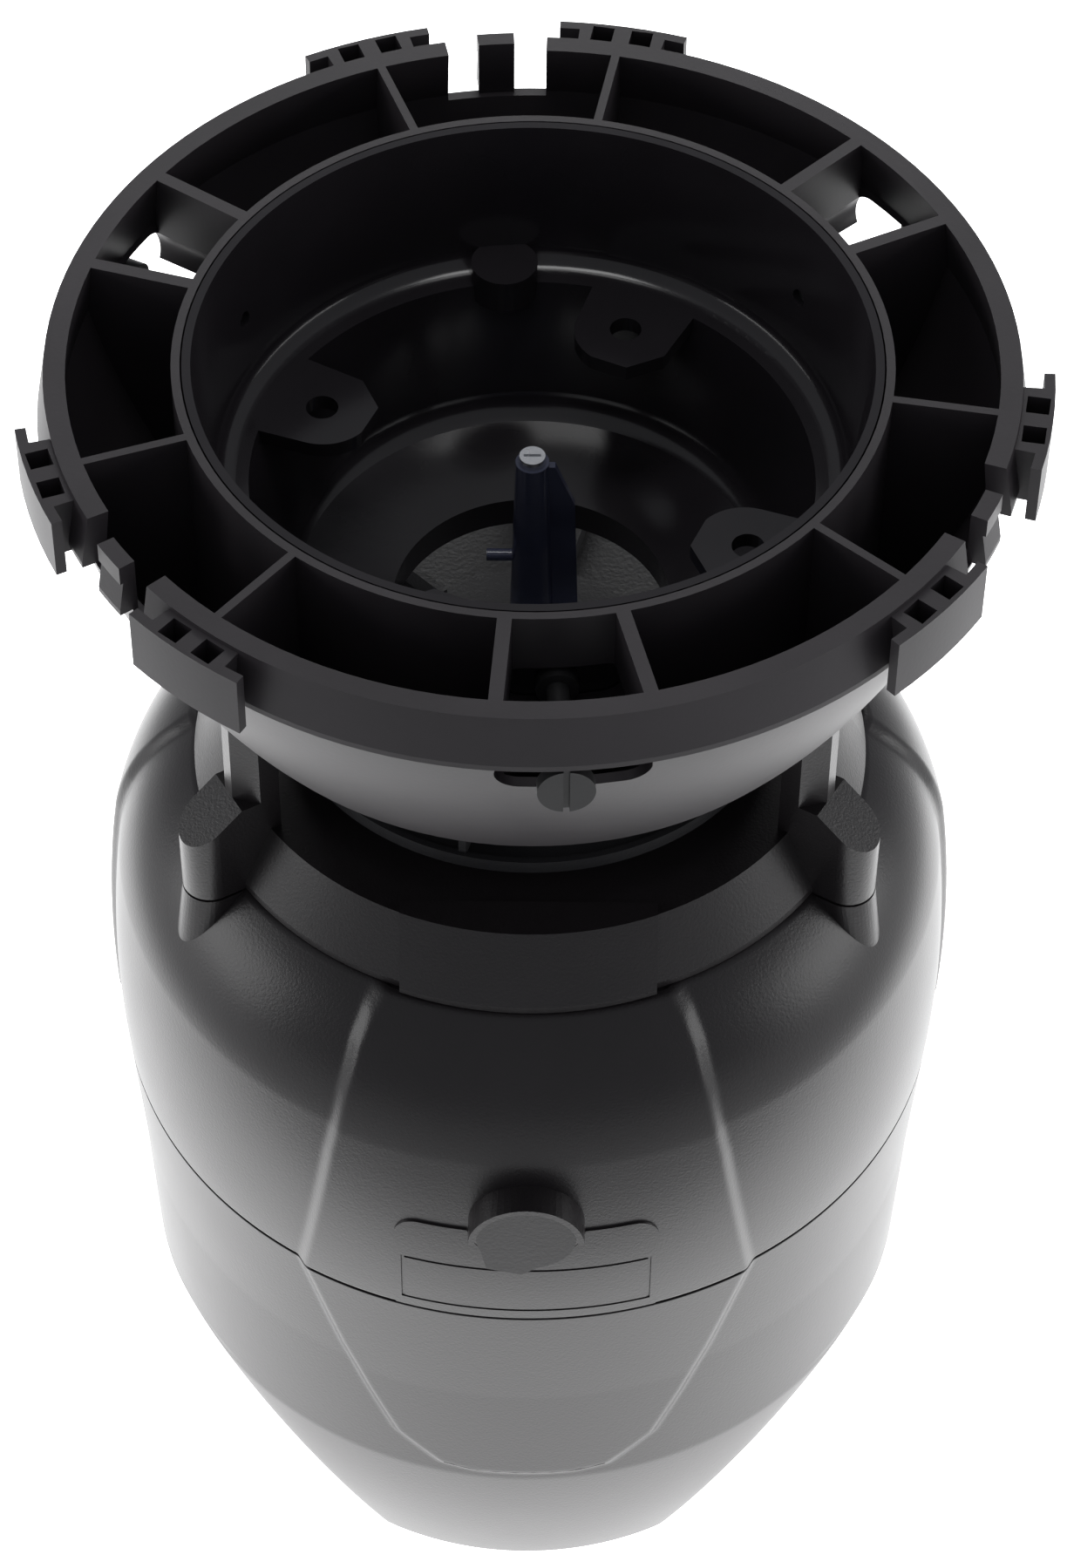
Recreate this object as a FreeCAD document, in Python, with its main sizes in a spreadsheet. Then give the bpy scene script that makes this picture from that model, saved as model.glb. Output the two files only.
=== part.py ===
import FreeCAD, Part
import math
import os
import Sketcher

# Battery-powered feed spreader head.  Millimetres, +Z up, base on z = 0,
# the blank name plate and the charging port face -Y.

DIMENSIONS = [
    # overall sizes
    ("OverallHeight", 372),
    ("RingRadius", 110),
    # shared wall and fit sizes
    ("HousingWall", 3),
    ("PanelRise", 2),
    ("SeamGap", 0.8),
    ("ShellGap", 0.4),
    ("RunningGap", 0.05),
    ("FastenerGap", 0.1),
    # ring adapter
    ("RingWall", 5),
    ("LipFlare", 2.2),
    ("LipDrop", 14.3),
    ("BowlDrop", 72.6),
    ("BowlWall", 2.5),
    ("BowlArc", 170),
    ("RingInnerWall", 2),
    ("TroughWidth", 28.6),
    ("WindowRibWidth", 3.2),
    ("ClipRibWidth", 2),
    ("WindowRibAngle", 9),
    ("ClipAngle", 15.5),
    ("NotchAngle", 6.4),
    ("TabAngle", 2.3),
    ("NotchDepth", 15),
    ("ClipPlateAngle", 7.6),
    ("ClipWebAngle", 5.2),
    ("ClipReach", 7.3),
    ("ClipPlate", 2.5),
    ("ClipHeight", 16),
    ("CoreHole", 5.2),
    ("SlotAngle", 6.2),
    ("SlotRadius", 5.5),
    ("RingTurn", 5),
    ("GuideTurn", 4),
    ("GuideDrop", 21),
    ("GuideShoulder", 4.75),
    ("GuideWaist", 2.6),
    ("GuideHeadRadius", 6.3),
    ("GuideHeadThick", 3),
    ("GuideThread", 2),
    # funnel
    ("FunnelRim", 2),
    ("LedgeDrop", 38.6),
    ("LedgeThick", 4),
    ("LugRadius", 12),
    ("LugInset", 56),
    ("LugHoleRadius", 3.8),
    ("LugTurn", 66),
    ("OutletRadius", 33),
    ("FunnelWall", 2),
    ("NeckDrop", 88),
    # throwing section
    ("ThrowSection", 132),
    ("PlateauRise", 17.6),
    ("CapWall", 3),
    ("PostWidth", 13.5),
    ("PostScrewInset", 34.5),
    ("PostScrewRadius", 1.75),
    ("SpinPlateInset", 48.4),
    ("SpinPlateThick", 2.4),
    ("SpinPlateLift", 6.4),
    ("SpinDiscRadius", 30),
    ("SpinDiscRise", 4.6),
    ("FinHeight", 6),
    ("FinCount", 6),
    ("HubRadius", 9),
    ("ShaftRadius", 3),
    ("ShaftLength", 44),
    ("AgitatorBase", 5.6),
    ("AgitatorTop", 3.9),
    ("AgitatorRise", 67),
    ("AgitatorFin", 1.8),
    # drive
    ("SealRadius", 8),
    ("MotorPlateRadius", 30),
    ("MotorPlateThick", 4),
    ("GearboxRadius", 21),
    ("GearboxHeight", 14),
    ("MotorRadius", 18),
    ("MotorHeight", 42),
    ("MotorScrewCircle", 25.5),
    ("CapScrewInset", 42),
    # electrics
    ("ChassisThick", 3),
    ("ChassisLift", 14),
    ("ChassisInset", 20),
    ("ChassisPost", 5),
    ("ChassisScrewInset", 34),
    ("BatteryWidth", 70),
    ("BatteryDepth", 47),
    ("BatteryHeight", 96),
    ("TrayWall", 2),
    ("TrayLip", 12),
    ("StrapWidth", 18),
    ("StrapThick", 1.2),
    ("TimerWidth", 70),
    ("TimerDepth", 26),
    ("TimerHeight", 62),
    ("TimerWall", 2),
    ("BoardThick", 1.6),
    ("DisplayWidth", 40),
    ("DisplayHeight", 18),
    ("ButtonRadius", 4),
    ("ButtonPitch", 15),
    ("ButtonTravel", 1),
    ("WireRadius", 0.9),
    # charging port and plate
    ("PortLift", 40),
    ("PlugRadius", 12),
    ("PlugThick", 3.2),
    ("HoodWall", 1.6),
    ("HoodReach", 5.4),
    ("JackRadius", 5.5),
    ("JackBore", 3.6),
    ("PlateWidth", 64),
    ("PlateHeight", 36),
    ("PlateThick", 0.6),
]

# Directions measured about +Z from +X.
FRONT = -90
PANEL_DIRECTIONS = (-90, 30, 150)
POST_DIRECTIONS = (-30, 90, 210)

doc = FreeCAD.newDocument("feeder")
sheet = doc.addObject("Spreadsheet::Sheet", "Dims")
for row, (alias, value) in enumerate(DIMENSIONS, 1):
    sheet.set("A%d" % row, alias)
    sheet.set("B%d" % row, str(value))
    sheet.setAlias("B%d" % row, alias)
doc.recompute()
probe = doc.addObject("App::FeaturePython", "Probe")

for_export = []
CONSTANTS = sorted((alias for alias, value in DIMENSIONS), key=len, reverse=True)


def bound(text):
    """The expression with every dimension name turned into its sheet cell."""
    out = []
    word = ""
    for char in str(text) + " ":
        if char.isalnum() or char in "_.":
            word += char
            continue
        out.append("Dims." + word if word in CONSTANTS else word)
        out.append(char)
        word = ""
    return "".join(out).strip()


def number(text):
    """The present value of an expression."""
    return float(probe.evalExpression(bound(text)))


def tie(feature, **sizes):
    """Bind properties of a feature to expressions."""
    for name, text in sizes.items():
        feature.setExpression(name, bound(text))
    return feature


def place(feature, x="0", y="0", z="0", turn="0", axis=(0, 0, 1)):
    """Put a feature at x, y, z, turned by an angle about an axis."""
    feature.Placement = FreeCAD.Placement(
        FreeCAD.Vector(number(x), number(y), number(z)),
        FreeCAD.Rotation(FreeCAD.Vector(*axis), number(turn)))
    for name, text in (("x", x), ("y", y), ("z", z)):
        if not plain(text):
            feature.setExpression("Placement.Base." + name, bound(text))
    if not plain(turn):
        feature.setExpression("Placement.Rotation.Angle", bound(turn))
    return feature


def plain(text):
    """True when the text holds no dimension name."""
    return not any(char.isupper() for char in str(text))


def add(kind, label):
    feature = doc.addObject(kind, label)
    feature.Label = label
    return feature


def box(label, length, width, height, x="0", y="0", z="0", turn="0"):
    feature = add("Part::Box", label)
    tie(feature, Length=length, Width=width, Height=height)
    return place(feature, x, y, z, turn)


def drum(label, radius, height, x="0", y="0", z="0"):
    """Upright cylinder."""
    feature = add("Part::Cylinder", label)
    tie(feature, Radius=radius, Height=height)
    return place(feature, x, y, z)


def rod_x(label, radius, length, x="0", y="0", z="0"):
    """Cylinder whose axis runs along +X from x."""
    feature = add("Part::Cylinder", label)
    tie(feature, Radius=radius, Height=length)
    return place(feature, x, y, z, "90", (0, 1, 0))


def rod_y(label, radius, length, x="0", y="0", z="0"):
    """Cylinder whose axis runs along +Y from y."""
    feature = add("Part::Cylinder", label)
    tie(feature, Radius=radius, Height=length)
    return place(feature, x, y, z, "-90", (1, 0, 0))


def cone(label, low, high, height, z="0"):
    feature = add("Part::Cone", label)
    tie(feature, Radius1=low, Radius2=high, Height=height)
    return place(feature, "0", "0", z)


def fuse(label, parts):
    feature = add("Part::MultiFuse", label)
    feature.Shapes = list(parts)
    feature.Refine = False
    return feature


def cut(label, base, tools):
    """Base minus tools; several tools are fused first."""
    tools = list(tools)
    tool = tools[0] if len(tools) == 1 else fuse(label + "_tools", tools)
    feature = add("Part::Cut", label)
    feature.Base = base
    feature.Tool = tool
    return feature


def common(label, first, second):
    feature = add("Part::MultiCommon", label)
    feature.Shapes = [first, second]
    return feature


def copies(label, source, angles):
    """The source turned about +Z to each of the angles, as linked objects."""
    made = []
    for index, angle in enumerate(angles):
        link = add("App::Link", "%s_%d" % (label, index))
        link.LinkedObject = source
        link.LinkTransform = True
        rotation = FreeCAD.Rotation(FreeCAD.Vector(0, 0, 1), number(angle))
        link.Placement = FreeCAD.Placement(FreeCAD.Vector(0, 0, 0), rotation)
        if not plain(angle):
            link.setExpression("Placement.Rotation.Angle", bound(angle))
        made.append(link)
    return made


def outline(label, vertices, plane="XZ"):
    """Closed sketch through vertices (u, v[, radius of the arc to the next]).

    A positive radius bulges to the right of the travelling direction, a negative
    one to the left.
    """
    sketch = add("Sketcher::SketchObject", label)
    if plane == "XZ":
        turn = FreeCAD.Rotation(FreeCAD.Vector(1, 0, 0), 90)
        sketch.Placement = FreeCAD.Placement(FreeCAD.Vector(0, 0, 0), turn)
    points = [FreeCAD.Vector(number(v[0]), number(v[1]), 0) for v in vertices]
    count = len(vertices)
    for index, vertex in enumerate(vertices):
        start = points[index]
        end = points[(index + 1) % count]
        if len(vertex) == 2:
            sketch.addGeometry(Part.LineSegment(start, end), False)
            continue
        radius = number(vertex[2])
        chord = end.sub(start)
        side = FreeCAD.Vector(chord.y, -chord.x, 0).normalize()
        half = chord.Length / 2
        sagitta = abs(radius) - math.sqrt(radius * radius - half * half)
        middle = start.add(end).multiply(0.5)
        middle = middle.add(side.multiply(math.copysign(sagitta, radius)))
        if radius > 0:
            sketch.addGeometry(Part.Arc(start, middle, end), False)
        else:
            sketch.addGeometry(Part.Arc(end, middle, start), False)
    ends = []
    for vertex in vertices:
        backwards = len(vertex) == 3 and number(vertex[2]) < 0
        ends.append((2, 1) if backwards else (1, 2))
    for index, vertex in enumerate(vertices):
        following = (index + 1) % count
        sketch.addConstraint(Sketcher.Constraint(
            "Coincident", index, ends[index][1], following, ends[following][0]))
    for index, vertex in enumerate(vertices):
        start = points[index]
        for kind, value, text in (("DistanceX", start.x, vertex[0]),
                                  ("DistanceY", start.y, vertex[1])):
            fixed = sketch.addConstraint(Sketcher.Constraint(
                kind, -1, 1, index, ends[index][0], value))
            if not plain(text):
                sketch.setExpression("Constraints[%d]" % fixed, bound(text))
        if len(vertex) == 3:
            radius = sketch.addConstraint(Sketcher.Constraint(
                "Radius", index, abs(number(vertex[2]))))
            if not plain(vertex[2]):
                text = "abs(" + bound(vertex[2]) + ")"
                sketch.setExpression("Constraints[%d]" % radius, text)
    return sketch


def turned(label, vertices, angle="360", start="0"):
    """Solid of revolution about +Z of an (r, z) outline."""
    sketch = outline(label + "_profile", vertices)
    feature = add("Part::Revolution", label)
    feature.Source = sketch
    feature.Axis = FreeCAD.Vector(0, 0, 1)
    feature.Base = FreeCAD.Vector(0, 0, 0)
    feature.Solid = True
    feature.Angle = number(angle)
    if not plain(angle):
        feature.setExpression("Angle", bound(angle))
    if str(start) != "0":
        place(feature, turn=start)
    return feature


def sector(label, vertices, centre, half):
    """Part of a solid of revolution, half an angle to each side of a direction."""
    return turned(label, vertices, "2 * (%s)" % half, "(%s) - (%s)" % (centre, half))


def slab(label, vertices, depth, plane="XZ"):
    """Outline pushed to both sides by half the depth."""
    sketch = outline(label + "_profile", vertices, plane)
    feature = add("Part::Extrusion", label)
    feature.Base = sketch
    feature.DirMode = "Custom"
    feature.Dir = FreeCAD.Vector(0, -1, 0) if plane == "XZ" else FreeCAD.Vector(0, 0, 1)
    feature.Solid = True
    feature.Symmetric = plane == "XZ"
    tie(feature, LengthFwd=depth)
    return feature


def rectangle(low_u, low_v, high_u, high_v):
    return [(low_u, low_v), (high_u, low_v), (high_u, high_v), (low_u, high_v)]


def node(label, feature):
    """Name the finished feature and list it for export."""
    feature.Label = label
    for_export.append(feature)
    return feature


# ---------------------------------------------------------------- levels and radii
TOP = "OverallHeight"
SEAM = "(OverallHeight - ThrowSection)"
PLATEAU = "(OverallHeight - ThrowSection + PlateauRise)"
PLATEAU_UNDER = "(OverallHeight - ThrowSection + PlateauRise - CapWall)"
MID = "(" + SEAM + " * 0.6125)"
LEDGE = "(OverallHeight - LedgeDrop)"
LEDGE_UNDER = "(OverallHeight - LedgeDrop - LedgeThick)"
BOWL_FOOT = "(OverallHeight - BowlDrop)"
POST_TOP = "(OverallHeight - BowlDrop - ShellGap - 0.2)"
LIP = "(OverallHeight - LipDrop)"
GUIDE_LEVEL = "(OverallHeight - GuideDrop)"

BORE = "(RingRadius - TroughWidth - RingInnerWall)"
SKIRT = "(RingRadius - TroughWidth - RingInnerWall - ShellGap)"
SKIRT_INNER = "(" + SKIRT + " - FunnelRim)"
CAP_RADIUS = "(RingRadius - 27.5)"
POST_END = "(RingRadius - 15 - PostWidth / 2)"
BELLY = "(RingRadius - 4.5)"
PORT_LEVEL = "(" + MID + " + PortLift)"

# Outer profile of the housing: (radius, height) from the cap seam to the base.
SHELL = [
    (CAP_RADIUS, SEAM),
    ("(RingRadius - 6.9)", "(" + SEAM + " * 0.8625)"),
    ("(RingRadius - 5.1)", MID),
    ("(RingRadius - 7.4)", "(" + SEAM + " * 0.45)"),
    ("(RingRadius - 9)", "(" + SEAM + " * 0.2708)"),
    ("(RingRadius - 27)", "0"),
]


def offset(radius, amount):
    return "(%s + %s)" % (radius, amount)


def upper_profile(outward, inward, top, foot):
    """Closed profile of the upper shell between two offsets of its outer face."""
    outer = [(offset(SHELL[0][0], outward), top, "-52"),
             (offset(SHELL[1][0], outward), SHELL[1][1], "-287"),
             (offset(SHELL[2][0], outward), foot)]
    inner = [(offset(SHELL[2][0], inward), foot),
             (offset(SHELL[1][0], inward), SHELL[1][1]),
             (offset(CAP_RADIUS, "9.5 + " + inward), "(" + SEAM + " * 0.945)"),
             (offset(SHELL[0][0], inward), top)]
    return outer + inner


def lower_profile(outward, inward, top, foot):
    """Closed profile of the cup wall between two offsets of its outer face."""
    outer = [(offset(SHELL[2][0], outward), top),
             (offset(SHELL[3][0], outward), SHELL[3][1]),
             (offset(SHELL[4][0], outward), SHELL[4][1], "-320"),
             (offset(SHELL[5][0], outward), foot)]
    inner = [(offset(SHELL[5][0], inward), foot),
             (offset(SHELL[4][0], inward), SHELL[4][1]),
             (offset(SHELL[3][0], inward), SHELL[3][1]),
             (offset(SHELL[2][0], inward), top)]
    return outer + inner


# Half widths of the raised panels at heights from the cap seam down.
PANEL = [
    ("(RingRadius * 0.275)", "(" + SEAM + " + 2)"),
    ("(RingRadius * 0.326)", "(" + SEAM + " * 0.979)"),
    ("(RingRadius * 0.352)", "(" + SEAM + " * 0.954)"),
    ("(RingRadius * 0.382)", "(" + SEAM + " * 0.906)"),
    ("(RingRadius * 0.4155)", "(" + SEAM + " * 0.825)"),
    ("(RingRadius * 0.453)", "(" + SEAM + " * 0.715)"),
    ("(RingRadius * 0.487)", MID),
    ("(RingRadius * 0.405)", "(" + SEAM + " * 0.4875)"),
    ("(RingRadius * 0.348)", "(" + SEAM + " * 0.4167)"),
    ("(RingRadius * 0.285)", "(" + SEAM + " * 0.3458)"),
    ("(RingRadius * 0.19)", "(" + SEAM + " * 0.303)"),
    ("(RingRadius * 0.11)", "(" + SEAM + " * 0.296)"),
]
PANEL_OUTLINE = PANEL + [("(0 - %s)" % half, level) for half, level in reversed(PANEL)]


def panel_set(label, profile):
    """The three raised panels whose radial section is the given profile."""
    band = turned(label + "_band", profile)
    prism = slab(label + "_prism", PANEL_OUTLINE, "4 * RingRadius")
    half_space = box(label + "_side", "4 * RingRadius", "2 * RingRadius", "2 * OverallHeight",
                     "0 - 2 * RingRadius", "0 - 2 * RingRadius", "0 - 10")
    front = common(label + "_wedge", prism, half_space)
    panel = common(label + "_panel", band, front)
    return copies(label + "_copy", panel, [str(a - FRONT) for a in PANEL_DIRECTIONS])


# ---------------------------------------------------------------- upper housing
DECK = "(" + SEAM + " - SeamGap)"
DECK_UNDER = "(" + SEAM + " - SeamGap - HousingWall)"
UPPER_FOOT = "(" + MID + " + SeamGap / 2)"
CHASSIS = "(" + MID + " + ChassisLift)"
CHASSIS_TOP = "(" + MID + " + ChassisLift + ChassisThick)"
CHASSIS_POST_AT = "(RingRadius - ChassisScrewInset)"
PORT_FACE = "(" + BELLY + " + PanelRise + 0.5)"

shell = turned("upper_shell", upper_profile("0", "0 - HousingWall", DECK, UPPER_FOOT))
deck = turned("upper_deck", rectangle("MotorPlateRadius + 4", DECK_UNDER,
                                      CAP_RADIUS + " - 1", DECK))
panels = panel_set("upper_panels",
                   upper_profile("PanelRise", "0 - 1", DECK, UPPER_FOOT))
fairing_web = slab("fairing_web", [
    ("(" + CAP_RADIUS + " - 2)", DECK),
    (POST_END, DECK),
    (POST_END + " + 4.1", SEAM + " * 0.915"),
    (POST_END + " + 2.3", SEAM + " * 0.915"),
    ("(RingRadius - 26)", SEAM + " * 0.96"),
], "PostWidth")
fairing_round = add("Part::Cylinder", "fairing_round")
tie(fairing_round, Radius="PostWidth / 2", Height="50")
place(fairing_round, POST_END + " + 5.34", "0", DECK + " - 38", "0 - 8", (0, 1, 0))
fairing_room = box("fairing_room", "40", "40", SEAM + " * 0.09", POST_END + " - 8", "0 - 20",
                   DECK + " - " + SEAM + " * 0.09")
fairing_nose = common("fairing_nose", fairing_round, fairing_room)
fairing = fuse("fairing", [fairing_web, fairing_nose])
fairings = copies("fairing_copy", fairing, [str(a) for a in POST_DIRECTIONS])
hanger = drum("hanger", "ChassisPost", DECK_UNDER + " + 1 - " + CHASSIS_TOP,
              CHASSIS_POST_AT, "0", CHASSIS_TOP)
hangers = copies("hanger_copy", hanger, [str(a) for a in POST_DIRECTIONS])
port_boss = rod_y("port_boss", "PlugRadius + ShellGap + HoodWall", "10",
                  "0", "0 - " + PORT_FACE, PORT_LEVEL)
hood_outer = rod_y("hood_outer", "PlugRadius + ShellGap + HoodWall", "HoodReach + 1",
                   "0", "0 - " + PORT_FACE + " - HoodReach", PORT_LEVEL)
hood_inner = rod_y("hood_inner", "PlugRadius + ShellGap", "HoodReach + 2",
                   "0", "0 - " + PORT_FACE + " - HoodReach - 2", PORT_LEVEL)
hood_below = box("hood_below", "60", "HoodReach + 4", "40",
                 "0 - 30", "0 - " + PORT_FACE + " - HoodReach - 3", PORT_LEVEL + " - 40")
hood = cut("hood", hood_outer, [hood_inner, hood_below])
upper_solid = fuse("upper_solid", [shell, deck] + panels + fairings + hangers
                   + [port_boss, hood])
jack_hole = rod_y("jack_hole", "JackRadius + FastenerGap", "30",
                  "0", "0 - " + PORT_FACE + " - 15", PORT_LEVEL)
cap_screw_hole = drum("cap_screw_hole", "2 + FastenerGap", "20",
                      "RingRadius - CapScrewInset", "0", SEAM + " - 15")
cap_screw_holes = copies("cap_screw_hole_copy", cap_screw_hole,
                         [str(a) for a in PANEL_DIRECTIONS])
hanger_hole = drum("hanger_hole", "1.5 + FastenerGap / 2", "14",
                   CHASSIS_POST_AT, "0", CHASSIS_TOP + " - 2")
hanger_holes = copies("hanger_hole_copy", hanger_hole, [str(a) for a in POST_DIRECTIONS])
node("upper_housing", cut("upper_housing", upper_solid,
                          [jack_hole] + cap_screw_holes + hanger_holes))

PLATE_FOOT = "(" + UPPER_FOOT + " + 0.6)"
plate_prism = slab("name_plate_prism", [
    ("0 - PlateWidth / 2", PLATE_FOOT),
    ("PlateWidth / 2", PLATE_FOOT),
    ("PlateWidth / 2", PLATE_FOOT + " + PlateHeight - 6", "6"),
    ("PlateWidth / 2 - 6", PLATE_FOOT + " + PlateHeight"),
    ("6 - PlateWidth / 2", PLATE_FOOT + " + PlateHeight", "6"),
    ("0 - PlateWidth / 2", PLATE_FOOT + " + PlateHeight - 6"),
], "4 * RingRadius")
plate_band = turned("name_plate_band", upper_profile(
    "PanelRise + PlateThick", "PanelRise", DECK, UPPER_FOOT))
plate_side = box("name_plate_side", "4 * RingRadius", "2 * RingRadius", "2 * OverallHeight",
                 "0 - 2 * RingRadius", "0 - 2 * RingRadius", "0 - 10")
plate_front = common("name_plate_front", plate_prism, plate_side)
plate_blank = common("name_plate_blank", plate_band, plate_front)
plate_gap = rod_y("name_plate_gap", "PlugRadius + ShellGap + HoodWall + 0.6", "40",
                  "0", "0 - " + PORT_FACE + " - 20", PORT_LEVEL)
frame_outer = slab("plate_frame_outer", rectangle(
    "0 - PlateWidth / 2 + 1.5", PLATE_FOOT + " + 3.4", "PlateWidth / 2 - 1.5",
    PLATE_FOOT + " + PlateHeight * 0.6"), "4 * RingRadius")
frame_inner = slab("plate_frame_inner", rectangle(
    "0 - PlateWidth / 2 + 2.3", PLATE_FOOT + " + 4.2", "PlateWidth / 2 - 2.3",
    PLATE_FOOT + " + PlateHeight * 0.6 - 0.8"), "4 * RingRadius")
frame_prism = cut("plate_frame_prism", frame_outer, [frame_inner])
frame_reach = turned("plate_frame_reach", upper_profile(
    "PanelRise + PlateThick + 1", "0 - 4", DECK, UPPER_FOOT))
frame_floor = turned("plate_frame_floor", upper_profile(
    "PanelRise + PlateThick * 0.5", "0 - 5", DECK, UPPER_FOOT))
frame_band = cut("plate_frame_band", frame_reach, [frame_floor])
frame_groove = common("plate_frame_groove", frame_band, frame_prism)
node("name_plate", cut("name_plate", plate_blank, [plate_gap, frame_groove, upper_solid]))

# ---------------------------------------------------------------- lower cup
CUP_TOP = "(" + MID + " - SeamGap / 2)"
FACET_TILT = "atan((30.5) / (" + SEAM + " * 0.2708))"

cup_blank = turned("cup_blank", [
    ("0", "0"),
    (SHELL[5][0], "0", "320"),
    (SHELL[4][0], SHELL[4][1]),
    (SHELL[3][0], SHELL[3][1]),
    (SHELL[2][0], CUP_TOP),
    ("0", CUP_TOP),
])
cup_room = turned("cup_room", [
    ("0", "HousingWall"),
    (offset(SHELL[5][0], "0 - HousingWall"), "HousingWall", "320"),
    (offset(SHELL[4][0], "0 - HousingWall"), SHELL[4][1]),
    (offset(SHELL[3][0], "0 - HousingWall"), SHELL[3][1]),
    (offset(SHELL[2][0], "0 - HousingWall"), CUP_TOP + " + 5"),
    ("0", CUP_TOP + " + 5"),
])


def facet_tools(label, inward):
    """Three wedges that shave flat triangular facets off the foot of the cup."""
    apex = "(RingRadius - 9 - %s)" % inward
    base = "((RingRadius - 27) * 0.848 - %s)" % inward
    wedge = slab(label + "_wedge", [
        (base, "0"),
        (apex, SEAM + " * 0.2708"),
        ("(RingRadius + 40)", SEAM + " * 0.2708"),
        ("(RingRadius + 40)", "0 - 20"),
        (base + " - 9", "0 - 20"),
    ], "3 * RingRadius")
    return copies(label + "_copy", wedge, [str(a) for a in POST_DIRECTIONS])


cup_outer = cut("cup_outer", cup_blank, facet_tools("facet", "0"))
cup_inner = cut("cup_inner", cup_room, facet_tools("facet_inner", "HousingWall"))
cup_shell = cut("cup_shell", cup_outer, [cup_inner])
cup_panels = panel_set("cup_panels",
                       lower_profile("PanelRise", "0 - 1", CUP_TOP, "0"))
spigot = turned("cup_spigot", rectangle(
    "RingRadius - 5.1 - HousingWall - 2.4", CUP_TOP + " - 8",
    "RingRadius - 5.1 - HousingWall - ShellGap - 0.6", CUP_TOP + " + 6"))
spigot_root = turned("cup_spigot_root", [
    ("RingRadius - 5.1 - HousingWall - 2.4", CUP_TOP + " - 8"),
    ("RingRadius - 5.1 - 1", CUP_TOP + " - 8"),
    ("RingRadius - 5.1 - 1", CUP_TOP),
    ("RingRadius - 5.1 - HousingWall - 2.4", CUP_TOP),
])
node("lower_cup", fuse("lower_cup", [cup_shell, spigot, spigot_root] + cup_panels))

seal = turned("seam_seal", rectangle(
    "RingRadius - 5.1 - HousingWall - ShellGap - 0.6", CUP_TOP,
    "RingRadius - 5.1 - 0.9", CUP_TOP + " + SeamGap / 2"))
node("seam_seal", seal)

# ---------------------------------------------------------------- three-post cap
cap_body = turned("cap_body", [
    ("SealRadius + FastenerGap", PLATEAU_UNDER),
    ("RingRadius - 38.5", PLATEAU_UNDER),
    ("RingRadius - 34", SEAM + " + 3.5"),
    ("RingRadius - 34", SEAM),
    (CAP_RADIUS, SEAM),
    (CAP_RADIUS, SEAM + " + 2"),
    ("RingRadius - 35", PLATEAU),
    ("SealRadius + FastenerGap", PLATEAU),
])
post_side = slab("post_side", [
    ("RingRadius - 33", SEAM),
    ("RingRadius - 15", SEAM),
    ("RingRadius - 15", SEAM + " + 18"),
    ("RingRadius - 28", SEAM + " + 28"),
    ("RingRadius - 28", POST_TOP),
    ("RingRadius - 38", POST_TOP),
    ("RingRadius - 38", SEAM + " + 15"),
], "PostWidth")
post_end = drum("post_end", "PostWidth / 2", "ThrowSection", POST_END, "0", SEAM)
post_web = box("post_web", POST_END + " - RingRadius + 42", "PostWidth", "ThrowSection",
               "RingRadius - 42", "0 - PostWidth / 2", SEAM)
post_blank = common("post_blank", post_side, fuse("post_plan", [post_web, post_end]))
trims = []
for side in ("", "0 - "):
    trim = slab("post_trim", [
        ("RingRadius - 33", side + "PostWidth / 2"),
        ("RingRadius - 27.9", side + "PostWidth * 0.13"),
        ("RingRadius - 27.9", side + "PostWidth"),
        ("RingRadius - 33", side + "PostWidth"),
    ], "ThrowSection", "XY")
    place(trim, z=SEAM + " + 28")
    trims.append(trim)
post = cut("post", post_blank, trims)
posts = copies("post_copy", post, [str(a) for a in POST_DIRECTIONS])
cap_boss = drum("cap_boss", "5", PLATEAU_UNDER + " + 1 - " + SEAM,
                "RingRadius - CapScrewInset", "0", SEAM)
cap_bosses = copies("cap_boss_copy", cap_boss, [str(a) for a in PANEL_DIRECTIONS])
cap_lug = slab("cap_panel", [
    ("RingRadius - 44", PLATEAU_UNDER),
    ("RingRadius - 34.5", SEAM + " + 1"),
    (CAP_RADIUS + " + PanelRise", SEAM),
    (CAP_RADIUS + " + PanelRise", SEAM + " + 2"),
    ("RingRadius - 34", PLATEAU + " + PanelRise * 0.6"),
    ("RingRadius - 44", PLATEAU + " + PanelRise * 0.6"),
], "RingRadius * 0.55")
cap_ring = turned("cap_panel_ring", [
    ("RingRadius - 44", PLATEAU_UNDER),
    ("RingRadius - 38.5", PLATEAU_UNDER),
    ("RingRadius - 34", SEAM + " + 3.5"),
    ("RingRadius - 34", SEAM),
    (CAP_RADIUS + " + PanelRise", SEAM),
    (CAP_RADIUS + " + PanelRise", SEAM + " + 2"),
    ("RingRadius - 34", PLATEAU + " + PanelRise * 0.6"),
    ("RingRadius - 44", PLATEAU + " + PanelRise * 0.6"),
])
cap_panel = common("cap_panel_piece", cap_lug, cap_ring)
cap_panels = copies("cap_panel_copy", cap_panel, [str(a) for a in PANEL_DIRECTIONS])
cap_solid = fuse("cap_solid", [cap_body] + posts + cap_bosses + cap_panels)
post_hole = drum("post_hole", "PostScrewRadius + FastenerGap", "80",
                 "RingRadius - PostScrewInset", "0", SEAM + " - 5")
post_recess = drum("post_recess", "3.6", "PlateauRise - 5",
                   "RingRadius - PostScrewInset", "0", SEAM + " - 5")
boss_hole = drum("boss_hole", "1.5 + FastenerGap / 2", "10",
                 "RingRadius - CapScrewInset", "0", SEAM + " - 1")
motor_hole = drum("motor_hole", "1.5 + FastenerGap", "20", "MotorScrewCircle", "0",
                  PLATEAU_UNDER + " - 5")
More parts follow.
